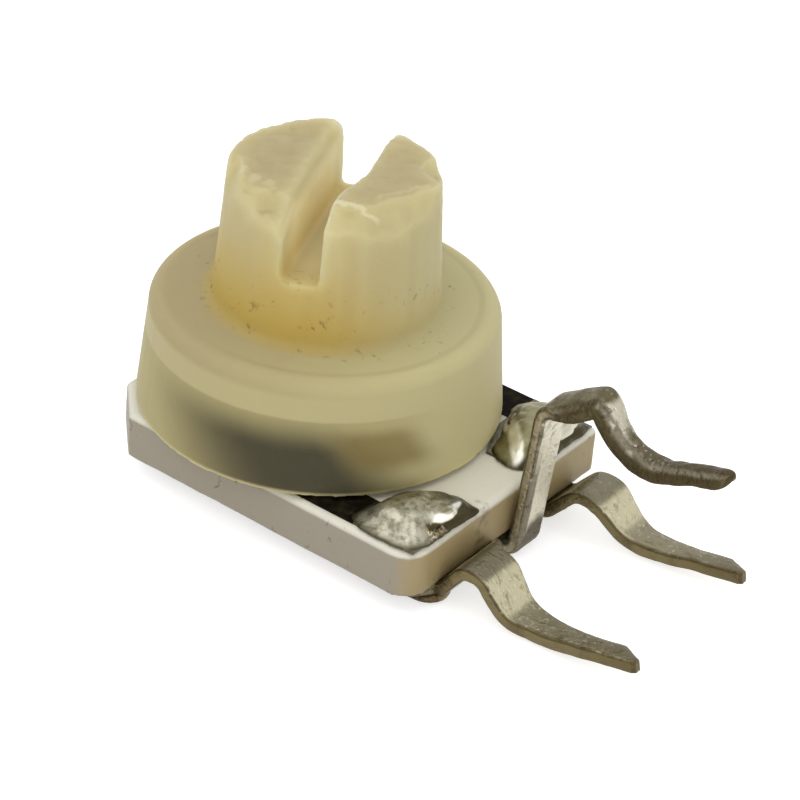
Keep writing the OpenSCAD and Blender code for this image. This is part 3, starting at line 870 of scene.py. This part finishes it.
class Part:
    """What every sub-assembly shares: dressing a piece, and the CAD body it rides on."""

    body: str = "base"

    def dress(self, piece: Piece, skin: Material, slot: str, *nodes: str) -> Piece:
        """Gives a new piece its material and body, and lets it stand for CAD nodes, which it hides.

        Args:
            piece: The new piece.
            skin: Its material.
            slot: Not used.
            nodes: The CAD nodes that it replaces.

        Returns:
            The same piece.
        """
        piece.data.materials.clear()
        piece.data.materials.append(skin)
        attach(piece, self.body)
        if nodes:
            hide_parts(*nodes)
        LOG.info("%s: %d faces on %s", piece.name, len(piece.data.polygons), self.body)
        return piece

    def coat(self, node: str, skin: Material) -> None:
        """Gives a CAD node, which keeps its own mesh, a new material.

        Args:
            node: The node's name.
            skin: The material.
        """
        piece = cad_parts[node]
        piece.data.materials.clear()
        piece.data.materials.append(skin)
        LOG.info("%s: CAD node dressed", node)


# ---------------------------------------------------------------------------------------------
# Shapes taken from the CAD, and sheet metal
# ---------------------------------------------------------------------------------------------


Shape = Callable[[Array, Array], Array]


def remesh(piece: Piece, cell: float, rounds: int, shape: Shape) -> None:
    """Remeshes a piece into even cells, smooths it and puts its points through a formula.

    Args:
        piece: The piece, still in millimetres.
        cell: Size of the cells.
        rounds: Rounds of smoothing, which soften the corners.
        shape: Takes the points and their normals, and returns the new points.
    """
    even = piece.modifiers.new("even", "REMESH")
    even.mode = "VOXEL"
    even.voxel_size = cell
    soften = piece.modifiers.new("soften", "SMOOTH")
    soften.factor = 0.5
    soften.iterations = rounds
    fine = applied(piece)
    piece.modifiers.clear()
    points = np.empty(len(fine.vertices) * 3)
    normals = np.empty(len(fine.vertices) * 3)
    fine.vertices.foreach_get("co", points)
    fine.vertices.foreach_get("normal", normals)
    points = shape(points.reshape(-1, 3), normals.reshape(-1, 3))
    fine.vertices.foreach_set("co", points.ravel())
    fine.update()
    piece.data = fine


def cast(node: str, name: str, cell: float, rounds: int, shape: Shape, carve: Shape | None = None) -> Piece:
    """Makes a fine, even mesh of a CAD node and reshapes it by a formula.

    The node's mesh is copied and merged, then remeshed into cells of one size, so that rounding,
    wear and roughness have points to move.

    Args:
        node: The CAD node.
        name: Name of the new piece.
        cell: Size of the cells in millimetres.
        rounds: Rounds of smoothing, which soften the corners.
        shape: Takes the points and their normals, and returns the new points.
        carve: A coarse formula put through first, with a remesh of its own.

    Returns:
        The new object.
    """
    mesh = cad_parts[node].data.copy()
    mesh.transform(Matrix.Scale(1 / MM, 4))
    piece = show(name, mesh)
    merge = piece.modifiers.new("merge", "WELD")
    merge.merge_threshold = 0.001
    if carve:
        remesh(piece, cell, 1, carve)
    remesh(piece, cell, rounds, shape)
    piece.data.transform(Matrix.Scale(MM, 4))
    piece.data.shade_smooth()
    return piece


@dataclass(frozen=True)
class Strip:
    """A stamped strip: its plan, its thickness, and how its surface and its crest depart from flat.

    The plan is a round foot, as (x, y, radius), joined to a lead whose near and far edges are lists
    of (x, y). The crown is how far the lead's edges fall below its middle, and the crust is the
    height of its roughness near the tip.
    """

    foot: tuple[float, float, float]
    near: Sequence[tuple[float, float]]
    far: Sequence[tuple[float, float]]
    thickness: float
    edge_r: float = 0.07
    tip_r: float = 0.0
    crown: float = 0.0
    crust: float = 0.01
    twist: float = 0.0
    twist_from: float = 0.0
    twist_to: float = 0.0

    def edges(self, x: Array) -> tuple[Array, Array]:
        """The near and far edge at each x: the lead's edges, or the foot's circle where it is wider.

        The circle's edges lie at its middle's y, less and plus the square root of the radius squared
        less the distance from its middle in x squared.

        Args:
            x: Places along the strip.

        Returns:
            The y of the near edge and of the far one.
        """
        lead_near = np.interp(x, *np.array(self.near).T)
        lead_far = np.interp(x, *np.array(self.far).T)
        centre_x, centre_y, radius = self.foot
        chord = np.sqrt(np.maximum(radius**2 - (x - centre_x) ** 2, 0.02**2))
        inside = np.abs(x - centre_x) < radius
        before = x < centre_x
        low = np.where(inside, centre_y - chord, lead_near)
        high = np.where(inside, centre_y + chord, lead_far)
        return (
            np.where(before, low, np.minimum(low, lead_near)),
            np.where(before, high, np.maximum(high, lead_far)),
        )

    def lift(self, x: Array, across: Array) -> Array:
        """Rise of the twisted crest: the twist times the distance across, faded at both its ends.

        Args:
            x: Places along the strip.
            across: Distances from its middle line.

        Returns:
            The rise along the strip's normal.
        """
        fade = smoothstep(self.twist_from, self.twist_from + 0.9, x)
        fade = fade * (1.0 - smoothstep(self.twist_to - 1.2, self.twist_to, x))
        return self.twist * fade * across


def ribbon(name: str, path: Array, strip: Strip, seed: int) -> Piece:
    """Sweeps a strip's rounded section along its path.

    Each station has a rounded rectangle across the path. Its width runs from the plan's near edge
    to the far one, and its normal is square to the path. A rounded tip takes the width and the
    thickness times the square root of f (2 - f), where f is the distance left over the tip's radius
    or over the thickness. The crown falls with the square of the share of the half width.

    Args:
        name: Name of the piece.
        path: Middle line as (x, z) points in millimetres.
        strip: The strip.
        seed: Picks the pattern of the crust.

    Returns:
        The new object.
    """
    length = np.concatenate([[0.0], np.cumsum(np.linalg.norm(np.diff(path, axis=0), axis=1))])
    at = np.linspace(0.0, length[-1], int(length[-1] / STATION_GAP))
    # Stations crowd at both ends, where the foot's circle and the tip turn fastest
    at = np.where(at < CROWDED, at**2 / CROWDED, at)
    at = np.where(length[-1] - at < CROWDED, length[-1] - (length[-1] - at) ** 2 / CROWDED, at)
    x = np.interp(at, length, path[:, 0])
    z = np.interp(at, length, path[:, 1])
    along = np.stack([np.gradient(x, at), np.gradient(z, at)], axis=-1)
    along /= np.linalg.norm(along, axis=1, keepdims=True)
    normal = np.stack([-along[:, 1], along[:, 0]], axis=-1)
    low, high = strip.edges(x)
    middle, half = (low + high) / 2, (high - low) / 2
    # The section: a rectangle whose corners are quarter circles
    r = strip.edge_r
    side = np.maximum(half - r, 0.005)
    deep = strip.thickness / 2 - r
    quarter = np.linspace(0, np.pi / 2, 4)
    flat = np.linspace(-1, 1, 12)
    across, out = [], []
    for turn in range(4):
        sign_y = 1 if turn in (0, 3) else -1
        sign_n = 1 if turn in (0, 1) else -1
        angle = quarter + turn * np.pi / 2
        across.append(sign_y * side[:, None] + r * np.cos(angle)[None])
        out.append(np.broadcast_to(sign_n * deep + r * np.sin(angle), (len(x), len(angle))))
        if turn in (0, 2):
            run = (flat[1:-1] * (-1 if turn == 0 else 1))[None] * side[:, None]
            across.append(run)
            out.append(np.full(run.shape, sign_n * strip.thickness / 2))
    across, out = np.concatenate(across, axis=1), np.concatenate(out, axis=1)
    if strip.tip_r > 0:
        for section, reach in ((across, strip.tip_r), (out, strip.thickness)):
            left = np.clip((length[-1] - at) / reach, 0.0, 1.0)
            section *= np.sqrt(np.maximum(left * (2.0 - left), 0.01))[:, None]
    lift = strip.lift(x[:, None], across)
    crowned = smoothstep(strip.twist_from, strip.twist_from + 0.6, x)[:, None]
    lift -= strip.crown * crowned * (across / half[:, None]) ** 2
    rings = np.empty((*across.shape, 3))
    rings[..., 0] = x[:, None] + normal[:, :1] * (out + lift)
    rings[..., 1] = middle[:, None] + across
    rings[..., 2] = z[:, None] + normal[:, 1:] * (out + lift)
    tip_x = path[:, 0].max()
    bumps = strip.crust * smoothstep(tip_x - 7.6, tip_x - 5.0, rings[..., 0])
    rings[..., 2] += bumps * rough(rings, 0.5, seed)
    rings[..., 1] += 0.5 * bumps * rough(rings, 0.4, seed + 9)
    return ring_stack(name, rings)


# ---------------------------------------------------------------------------------------------
# Sub-assemblies
# ---------------------------------------------------------------------------------------------


@dataclass
class Rotor(Part):
    """The nylon rotor: a hollow disc, and a shaft whose slotted end has broken off unevenly."""

    body = "rotor"
    cell: float = 0.062
    rounds: int = 4
    rim_r: float = 0.42
    top_r: float = 4.62
    top_z: float = DISC_TOP_Z
    foot_r: float = SHAFT_R
    flutes_r: float = 2.45
    end_z: float = 8.36
    slot_turn: float = SLOT_TURN

    def carve(self, points: Array, _: Array) -> Array:
        """Breaks the shaft's end away.

        Places on it are measured from the axis, along the slot and across it, and the slot parts it
        into two posts. Before each post's lip the end falls away by the distance to the power 1.25.
        Beside the slot the first post has a rounded edge. The second has a ledge there and a dip
        along its outside, which fade along the slot as bell curves, and what stands between the two
        is a tooth. Two nicks in the rim are the undersides of balls.

        Args:
            points: The points.
            _: Their normals, which aren't needed.

        Returns:
            The new points.
        """
        p = points.copy()
        x, y = p[:, 0], p[:, 1]
        along = x * math.cos(self.slot_turn) + y * math.sin(self.slot_turn)
        across = -x * math.sin(self.slot_turn) + y * math.cos(self.slot_turn)
        first = across > 0
        lip = np.where(
            first,
            np.interp(across, (0.5, 1.05, 1.35, 1.65, 2.1, 2.4), (-1.9, -1.5, -1.6, -1.45, -1.1, -0.3)),
            np.interp(-across, (0.5, 1.2, 1.95, 2.4, 2.7), (-1.9, -1.75, -1.0, -0.5, 0.1)),
        )
        beyond = np.maximum(lip - along, 0.0)
        limit = self.end_z - 0.7 * beyond**1.25
        limit -= np.where(first, 1.3 * edge_drop(np.maximum(across - 0.5, 0.0), 0.42), 0.0)
        ledge = np.interp(-across, (0.5, 0.7, 0.84, 0.98), (0.46, 0.32, 0.08, 0.0))
        ledge = ledge * np.exp(-(((along - 2.0) / 0.6) ** 2))
        crown = np.interp(-across, (0.7, 0.95, 1.2, 1.5, 1.8, 2.1), (0.26, 0.18, 0.16, 0.22, 0.36, 0.48))
        crown = crown * np.exp(-(((along - 2.55) / 0.42) ** 2))
        limit -= np.where(first, 0.0, ledge + crown)
        limit = np.minimum(limit, scoop(x, y, (-2.85, -0.75, 8.3), 0.3))
        limit = np.minimum(limit, scoop(x, y, (-2.8, 0.85, 8.5), 0.32))
        shaft = (np.hypot(x, y) < self.foot_r + 0.2) & (p[:, 2] > self.top_z + 1.0)
        p[:, 2] = np.where(shaft, np.minimum(p[:, 2], limit), p[:, 2])
        return p

    def shape(self, points: Array, normals: Array) -> Array:
        """Softens the rim, roughens the fracture and draws flutes down the shaft.

        The rim is a quarter circle that outer points are drawn back to. The fracture takes rough
        heights where the surface faces up, and the flutes are a sum of two waves round the axis.

        Args:
            points: The points.
            normals: Their normals.

        Returns:
            The new points.
        """
        p = points.copy()
        radius = np.hypot(p[:, 0], p[:, 1])
        turn = np.arctan2(p[:, 1], p[:, 0])
        # Rim
        rim_x, rim_z = self.top_r - self.rim_r + 0.02, self.top_z - self.rim_r
        over_x, over_z = radius - rim_x, p[:, 2] - rim_z
        reach = np.hypot(over_x, over_z)
        outer = (over_x > 0) & (over_z > 0) & (reach > self.rim_r)
        share = np.where(outer, self.rim_r / np.maximum(reach, 1e-6), 1.0)
        new_radius = np.where(outer, rim_x + over_x * share, radius)
        p[:, 2] = np.where(outer, rim_z + over_z * share, p[:, 2])
        # Flutes on the shaft, deepest on the terminals' side
        shaft = smoothstep(self.top_z + 0.2, self.top_z + 0.6, p[:, 2]) * (radius > self.flutes_r)
        facing = 0.35 + 0.65 * smoothstep(-1.6, -0.4, turn) * (1 - smoothstep(1.0, 1.6, turn))
        flutes = np.sin(turn * 19) * 0.6 + np.sin(turn * 31 + 1.3) * 0.4
        new_radius += shaft * facing * flutes * 0.02
        scale = new_radius / np.maximum(radius, 1e-6)
        p[:, 0] *= scale
        p[:, 1] *= scale
        # Fracture
        broken = smoothstep(6.7, 7.2, p[:, 2]) * smoothstep(0.2, 0.6, normals[:, 2])
        p[:, 2] += broken * (rough(points, 0.9, 3) * 0.05 + rough(points, 0.25, 5) * 0.025)
        sides = smoothstep(6.6, 7.6, p[:, 2]) * (1 - smoothstep(0.2, 0.6, normals[:, 2]))
        return p + normals * (sides * rough(points, 0.5, 8) * 0.018)[:, None]

    def build(self) -> None:
        """Builds the rotor."""
        piece = cast("rotor", "rotor_moulding", self.cell, self.rounds, self.shape, self.carve)
        self.dress(piece, NYLON.build(), "nylon", "rotor")
        self.coat("contact_spring", BRONZE.build())


@dataclass
class Base(Part):
    """The steatite plate, with the carbon track and the two silver films printed on it."""

    cell: float = 0.07
    rounds: int = 2

    def shape(self, points: Array, normals: Array) -> Array:
        """Gives the pressed plate slightly uneven faces: each point moves along its normal by noise.

        Args:
            points: The points.
            normals: Their normals.

        Returns:
            The new points.
        """
        rise = rough(points, 1.6, 21) * 0.012 + rough(points, 0.3, 22, 2) * 0.006
        return points + normals * rise[:, None]

    def build(self) -> None:
        """Builds the plate and dresses its films."""
        piece = cast("ceramic_base", "steatite_plate", self.cell, self.rounds, self.shape)
        self.dress(piece, STEATITE.build(), "ceramic", "ceramic_base")
        self.coat("carbon_track", CARBON.build())
        silver = SILVER.build()
        self.coat("silver_film_front", silver)
        self.coat("silver_film_back", silver)


@dataclass
class Terminals(Part):
    """The two bent outer leads under the plate, and the tall wiper lead between them."""

    near_x: float = PLATE_END_X
    post_x: float = PLATE_END_X + 0.25
    eyelet_x: float = EYELET_X
    eyelet_y: float = EYELET_Y
    foot_r: float = 1.15
    bore_r: float = 0.64
    ring_r: float = 2.35
    ring_bore_r: float = 1.54
    lead_t: float = 0.34
    wiper_t: float = 0.38
    root_half: float = 0.7
    dip_half: float = 0.475
    tip_half: float = 0.325
    reach: float = 5.7
    bend_steps: int = 12

    def lead_path(self, crest: tuple[float, float], dip: tuple[float, float], tip_z: float) -> Array:
        """The side view of an outer lead: flat under the plate, over a crest, down, and out.

        Args:
            crest: Middle of the crest as (x, z).
            dip: The lowest place after it as (x, z).
            tip_z: Height of the tip.

        Returns:
            The middle line as (x, z) points.
        """
        base = -self.lead_t / 2
        corners = [
            (self.eyelet_x - self.foot_r + 0.002, base, 0),
            (self.near_x + 0.12, base, 0.22),
            (crest[0] - 0.3, crest[1], 0.22),
            (crest[0] + 0.3, crest[1], 0.28),
            (*dip, 0.45),
            (dip[0] + 1, dip[1], 0.5),
            (self.near_x + self.reach, tip_z - 0.03, 0),
        ]
        return rounded_profile(corners, self.bend_steps)

    def lead_plan(self, side: int, middle: tuple[float, float, float], shoulder: float) -> Strip:
        """The plan of an outer lead: a shoulder towards the wiper, a crest, a dip and a blunt tip.

        Args:
            side: -1 for the front lead, 1 for the back one.
            middle: Middle of the root, the dip and the tip in y.
            shoulder: How far the root widens towards the wiper.

        Returns:
            The strip.
        """
        root, dip, tip = middle
        wide, narrow = self.root_half, self.tip_half
        stations = ((1.0, root, wide), (1.5, root, wide), (2.6, dip, self.dip_half), (4.2, tip, narrow))
        near = [(self.near_x + x, y - half) for x, y, half in stations]
        far = [(self.near_x + x, y + half) for x, y, half in stations]
        tip_x = self.near_x + self.reach
        near += [(tip_x - 0.12, tip - narrow), (tip_x, tip - 0.26)]
        far += [(tip_x - 0.6, tip + narrow), (tip_x, tip - 0.08)]
        root_x = self.near_x + 0.15
        near.insert(0, (root_x, root - wide - (shoulder if side > 0 else 0.0)))
        far.insert(0, (root_x, root + wide + (shoulder if side < 0 else 0.0)))
        return Strip(
            foot=(self.eyelet_x, side * self.eyelet_y, self.foot_r),
            near=near,
            far=far,
            thickness=self.lead_t,
            crown=0.05,
            crust=0.014,
            twist_from=self.near_x + 2.2,
        )

    def wiper_path(self) -> Array:
        """The side view of the wiper lead: a ring, a step down, a post, a crest and a tail."""
        ring_z, post_x = -self.wiper_t / 2, self.post_x
        corners = [
            (0.001 - self.ring_r, ring_z, 0),
            (2.85, ring_z, 0.2),
            (3.35, -0.47, 0.2),
            (post_x, -0.47, 0.3),
            (post_x + 0.36, 4.0, 0.28),
            (post_x + 1.84, 4.8, 0.34),
            (post_x + 2.5, 4.0, 0.36),
            (post_x + 3.6, 3.74, 0.6),
            (post_x + 5.75, 4.52, 0),
        ]
        return rounded_profile(corners, self.bend_steps)

    def wiper_plan(self) -> Strip:
        """The plan of the wiper lead: a ring, a straight post, and a crest that narrows to a tail."""
        post_x = self.post_x
        return Strip(
            foot=(0.0, 0.0, self.ring_r),
            near=[
                (0, -0.05),
                (post_x + 0.6, -0.05),
                (post_x + 1.6, 0.18),
                (post_x + 2.4, 0.16),
                (post_x + 3.4, -0.05),
                (post_x + 5.65, -0.08),
            ],
            far=[(0, 1.05), (post_x + 1.7, 1.05), (post_x + 3, 0.66), (post_x + 5.65, 0.62)],
            thickness=self.wiper_t,
            edge_r=0.14,
            tip_r=0.5,
            crown=0.13,
            crust=0.03,
            twist=0.32,
            twist_from=post_x + 0.3,
            twist_to=post_x + 4.4,
        )

    def build(self) -> None:
        """Builds the three terminals."""
        tin, old = TIN.build(), OLD_TIN.build()
        front = self.lead_path((self.near_x + 1, 0.7), (self.near_x + 2.05, -0.34), 0.28)
        back = self.lead_path((self.near_x + 1.15, 0.66), (self.near_x + 2.35, -0.28), 0.2)
        plans = (
            (-1, "front", front, (-2.32, -2.21, -2.34), 1.1),
            (1, "back", back, (2.45, 2.62, 2.66), 0.15),
        )
        for side, name, path, middle, shoulder in plans:
            lead = ribbon(f"lead_{name}", path, self.lead_plan(side, middle, shoulder), 40 + side)
            drill(lead, (self.eyelet_x, side * self.eyelet_y), self.bore_r)
            self.dress(lead, tin, "tinned_brass", f"terminal_{name}")
        lead = ribbon("lead_wiper", self.wiper_path(), self.wiper_plan(), 51)
        drill(lead, (0.0, 0.0), self.ring_bore_r)
        self.dress(lead, old, "soldered_brass", "terminal_wiper")


@dataclass
class Eyelets(Part):
    """The rolled eyelets: one at each outer terminal, and a wide one in the middle."""

    x: float = EYELET_X
    y: float = EYELET_Y
    seat_z: float = UNDER_Z
    plate_z: float = FILM_TOP_Z
    tube_r: float = 0.6
    wall: float = 0.2
    head_r: float = 0.95
    upper_h: float = 0.3
    lower_h: float = 0.32
    sides: int = 48

    def rolled(self) -> Array:
        """Half section of a small eyelet: a thin tube with a rounded head rolled over at each end.

        Each head's outside is half a wave, with the cosine of the angle in the radius and its sine
        in the height.
        """
        turn = np.linspace(-np.pi / 2, np.pi / 2, 9)
        lip = self.head_r - self.wall + self.wall * np.cos(turn)
        upper_z = self.plate_z + self.upper_h / 2 * (1 + np.sin(turn))
        lower_z = self.seat_z + self.lower_h / 2 * (1 + np.sin(turn))
        upper = np.stack([lip - self.wall, upper_z], axis=-1)
        lower = np.stack([lip, lower_z], axis=-1)
        bore = self.tube_r - self.wall
        inner = np.array([[bore, self.plate_z + self.upper_h - 0.08], [bore, self.seat_z + 0.08]])
        throat = np.array([[self.tube_r, self.seat_z + self.lower_h], [self.tube_r, self.plate_z]])
        return np.concatenate([lower, throat, upper, inner])

    def squeeze(self, rings: Array, side: int) -> Array:
        """Rolls the lower head over unevenly: wide towards the terminals and tight away from them.

        The lean is the square of the cosine of a point's angle from the wide side, and 0 behind it.
        Below the plate, a point of the head moves out by 0.66 times its lean less 0.32, and rises by
        a share of what its lean lacks.

        Args:
            rings: The eyelet's rings, which are changed.
            side: -1 for the front eyelet, 1 for the back one.

        Returns:
            The rings.
        """
        out = rings[..., :2] - np.array([self.x, side * self.y])
        reach = np.linalg.norm(out, axis=-1)
        low = smoothstep(-0.2, -0.3, rings[..., 2]) * smoothstep(0.62, 0.95, reach)
        lean = np.clip((out[..., 0] * 0.99 + side * out[..., 1] * 0.1) / reach, 0.0, 1.0) ** 2
        rings[..., :2] += out / reach[..., None] * (low * (0.66 * lean - 0.32))[..., None]
        rings[..., 2] += low * (1.0 - lean) * 0.24 * smoothstep(-0.4, -0.6, rings[..., 2])
        return rings

    def build(self) -> None:
        """Builds the three eyelets."""
        brass = BRASS.build()
        for side, name in ((-1, "front"), (1, "back")):
            rings = self.squeeze(revolve(self.rolled(), (self.x, side * self.y), self.sides), side)
            piece = ring_stack(f"rolled_eyelet_{name}", rings, wrap=True)
            self.dress(piece, brass, "eyelet_brass", f"eyelet_{name}")
        self.coat("centre_eyelet", brass)


@dataclass
class Solder(Part):
    """The two solder joints: each a blanket over its silver film and the eyelet's head.

    A joint's outline is a list of (degrees, radius) round its middle. Its side is a profile of
    (share of the radius, height, corner radius), and the profile of its lip, which hangs over a
    hollow, takes over on the terminals' side: its middle and its width are in degrees.
    """

    foot_z: float = FILM_TOP_Z
    skirt_r: float = 5.03
    front_at: tuple[float, float] = (5.5, -2.75)
    back_at: tuple[float, float] = (5.4, 2.5)
    lip_front: tuple[float, float] = (12.0, 52.0)
    lip_back: tuple[float, float] = (5.0, 75.0)
    plain: tuple[tuple[float, float, float], ...] = (
        (1.0, 0.0, 0.0),
        (0.96, 0.07, 0.04),
        (0.8, 0.18, 0.1),
        (0.6, 0.46, 0.12),
        (0.35, 0.6, 0.1),
        (0.02, 0.63, 0.0),
    )
    lip: tuple[tuple[float, float, float], ...] = (
        (0.9, 0.0, 0.0),
        (0.86, 0.1, 0.04),
        (0.74, 0.26, 0.06),
        (1.0, 0.42, 0.06),
        (0.92, 0.6, 0.06),
        (0.02, 0.62, 0.0),
    )

    def outline(self, side: int) -> tuple[Array, Array]:
        """The outline of a joint's foot.

        Args:
            side: -1 for the front joint, 1 for the back one.

        Returns:
            Angles in degrees from the terminals' side, and the radii there.
        """
        front = (
            (-180, 1.2), (-145, 1.72), (-124, 1.55), (-99, 1.31), (-67, 1.3), (-50, 1.12), (-22, 0.86),
            (0, 0.84), (22, 0.9), (42, 1.12), (60, 1.68), (72, 1.58), (90, 1.5), (121, 1.2),
            (162, 1.12), (180, 1.2),
        )
        back = (
            (-180, 1.05), (-137, 0.96), (-110, 1.44), (-93, 1.65), (-74, 1.77), (-58, 1.53),
            (-30, 1.03), (0, 0.95), (30, 1.03), (58, 1.53), (83, 1.56), (118, 1.7), (148, 1.53),
            (175, 1.06), (180, 1.05),
        )
        angles, radii = np.array(front if side < 0 else back).T
        return angles, radii

    def even(self, profile: Sequence[tuple[float, float, float]], share: Array) -> Array:
        """A rounded profile's two coordinates at even shares of its length."""
        line = rounded_profile(profile, 8)
        run = np.concatenate([[0.0], np.cumsum(np.linalg.norm(np.diff(line, axis=0), axis=1))])
        return np.stack([np.interp(share * run[-1], run, line[:, k]) for k in (0, 1)])

    def rings(self, side: int) -> Array:
        """Points of a joint, ring by ring from its foot to its crown.

        A point lies at its angle from the joint's middle, at the profile's share of the outline's
        radius there and at the profile's height. The outline is smoothed by a running mean with bell
        weights, and the two profiles are mixed by a soft step of the angle.

        Args:
            side: -1 for the front joint, 1 for the back one.

        Returns:
            Points of shape (rings, points in a ring, 3).
        """
        turn = np.linspace(-180, 180, 160, endpoint=False)
        radius = np.interp(turn, *self.outline(side))
        kernel = np.hanning(7) / np.hanning(7).sum()
        radius = np.convolve(np.concatenate([radius[-3:], radius, radius[:3]]), kernel, "valid")
        share = np.linspace(0, 1, 42)
        middle, width = self.lip_front if side < 0 else self.lip_back
        weight = smoothstep(0.0, 1.0, 1 - np.abs(turn - middle) / width)
        plain, lip = self.even(self.plain, share), self.even(self.lip, share)
        mixed = plain[:, :, None] * (1 - weight) + lip[:, :, None] * weight
        angle = np.radians(turn)
        at = self.front_at if side < 0 else self.back_at
        points = np.empty((len(share), len(turn), 3))
        points[..., 0] = at[0] + mixed[0] * radius * np.cos(angle)
        points[..., 1] = at[1] + mixed[0] * radius * np.sin(angle)
        points[..., 2] = self.foot_z + mixed[1]
        high = smoothstep(0.05, 0.3, mixed[1])
        bumps = rough(points, 0.7, 60 + side) * 0.05 + rough(points, 0.25, 70 + side, 2) * 0.012
        points[..., 2] += high * bumps
        points[..., :2] += ((1 - high) * rough(points, 0.35, 80 + side) * 0.035)[..., None]
        # The foot stays clear of the rotor's skirt
        axis = np.hypot(points[..., 0], points[..., 1])
        points[..., :2] *= (np.maximum(axis, self.skirt_r) / axis)[..., None]
        points[..., 2] = np.maximum(points[..., 2], self.foot_z)
        return points

    def build(self) -> None:
        """Builds both joints."""
        skin = SOLDER.build()
        for side, name in ((-1, "front"), (1, "back")):
            piece = ring_stack(f"solder_joint_{name}", self.rings(side))
            self.dress(piece, skin, "solder", f"solder_{name}")


# ---------------------------------------------------------------------------------------------
# Floor, light and camera
# ---------------------------------------------------------------------------------------------


@dataclass
class Studio:
    """A white floor under soft light, and the camera."""

    floor_z: float = UNDER_Z
    floor_half: float = 600.0
    camera_at: tuple[float, float, float] = (33.80, -44.60, 37.37)
    look_at: tuple[float, float, float] = (1.392, 1.776, 1.027)
    roll: float = 5.125
    lens: float = 111.5
    aim: tuple[float, float, float] = (1.0, 0.0, 2.0)

    def white(self, tree: Tree) -> Socket:
        """The greatest of three ray kinds: 1 where the camera, a mirror or a glass looks, 0 elsewhere.

        Args:
            tree: The node tree of a material or of the world.

        Returns:
            The number's socket.
        """
        path = add(tree, "ShaderNodeLightPath").outputs
        seen = path["Is Camera Ray"]
        for name in ("Is Glossy Ray", "Is Transmission Ray"):
            seen = add(tree, "ShaderNodeMath", {0: seen, 1: path[name]}, operation="MAXIMUM").outputs[0]
        return seen

    def floor(self) -> None:
        """A matt floor. It keeps the shadow, and some white is added where it is looked at."""
        material = bpy.data.materials.new("matt_white_floor")
        material.use_nodes = True
        tree = material.node_tree
        tree.nodes.clear()
        matt = add(tree, "ShaderNodeBsdfDiffuse", {"Color": "#e6e6e6"})
        glow = add(tree, "ShaderNodeEmission", {"Strength": self.white(tree), "Color": "#c8c8c8"})
        both = add(tree, "ShaderNodeAddShader", {0: matt.outputs[0], 1: glow.outputs[0]})
        add(tree, "ShaderNodeOutputMaterial", {0: both.outputs[0]})
        half, height = self.floor_half * MM, self.floor_z * MM
        square = [(x * half, y * half, height) for x, y in ((-1, -1), (1, -1), (1, 1), (-1, 1))]
        mesh = bpy.data.meshes.new("floor")
        mesh.from_pydata(square, [], [(0, 1, 2, 3)])
        mesh.materials.append(material)
        show("floor", mesh)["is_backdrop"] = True

    def sky(self) -> None:
        """A plain white world, dimmer as a light than as a backdrop."""
        world = bpy.data.worlds.new("studio")
        world.use_nodes = True
        bpy.context.scene.world = world
        tree = world.node_tree
        tree.nodes.clear()
        strength = add(tree, "ShaderNodeMapRange", {"Value": self.white(tree), "To Min": 0.8, "To Max": 1.0})
        ground = add(tree, "ShaderNodeBackground", {"Color": "#ffffff", "Strength": strength.outputs[0]})
        add(tree, "ShaderNodeOutputWorld", {0: ground.outputs[0]})

    def lamp(self, name: str, at: Sequence[float], size: float, watts: float) -> None:
        """A square soft lamp, aimed at the middle of the part.

        Args:
            name: The lamp's name.
            at: Its place in millimetres.
            size: Its side in millimetres.
            watts: Its power.
        """
        light = bpy.data.lights.new(name, "AREA")
        light.size = size * MM
        light.energy = watts
        piece = show(name, light)
        piece.location = Vector(at) * MM
        piece.rotation_euler = (Vector(self.aim) - Vector(at)).to_track_quat("-Z", "Y").to_euler()

    def camera(self) -> None:
        """The camera, turned a few degrees about its own line of sight."""
        lens = bpy.data.cameras.new("camera")
        lens.lens = self.lens
        lens.clip_start = 1 * MM
        lens.clip_end = 2000 * MM
        piece = show("camera", lens)
        piece.location = Vector(self.camera_at) * MM
        aim = (Vector(self.look_at) - Vector(self.camera_at)).to_track_quat("-Z", "Y")
        turn = Matrix.Rotation(math.radians(self.roll), 4, "Z")
        piece.rotation_euler = (aim.to_matrix().to_4x4() @ turn).to_euler()
        bpy.context.scene.camera = piece

    def build(self) -> None:
        """Builds the studio."""
        self.floor()
        self.sky()
        self.lamp("key", (-20.0, -60.0, 150.0), 140.0, 0.06)
        self.lamp("fill", (110.0, -110.0, 70.0), 90.0, 0.05)
        self.camera()
        bpy.context.scene.view_settings.view_transform = "Standard"


def corners(bounds: tuple[Vector, Vector]) -> list[list[float]]:
    """The two corners of a box, in the form that JSON takes."""
    return [list(corner) for corner in bounds]


def main() -> None:
    """Builds the potentiometer and its studio."""
    logging.basicConfig(level=logging.INFO, format="%(message)s")
    for part in (Base(), Eyelets(), Terminals(), Solder(), Rotor()):
        part.build()
    Studio().build()
    {"cad": corners(CAD_BOUNDS), "shown": corners(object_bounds())}


if __name__ == "__main__":
    main()
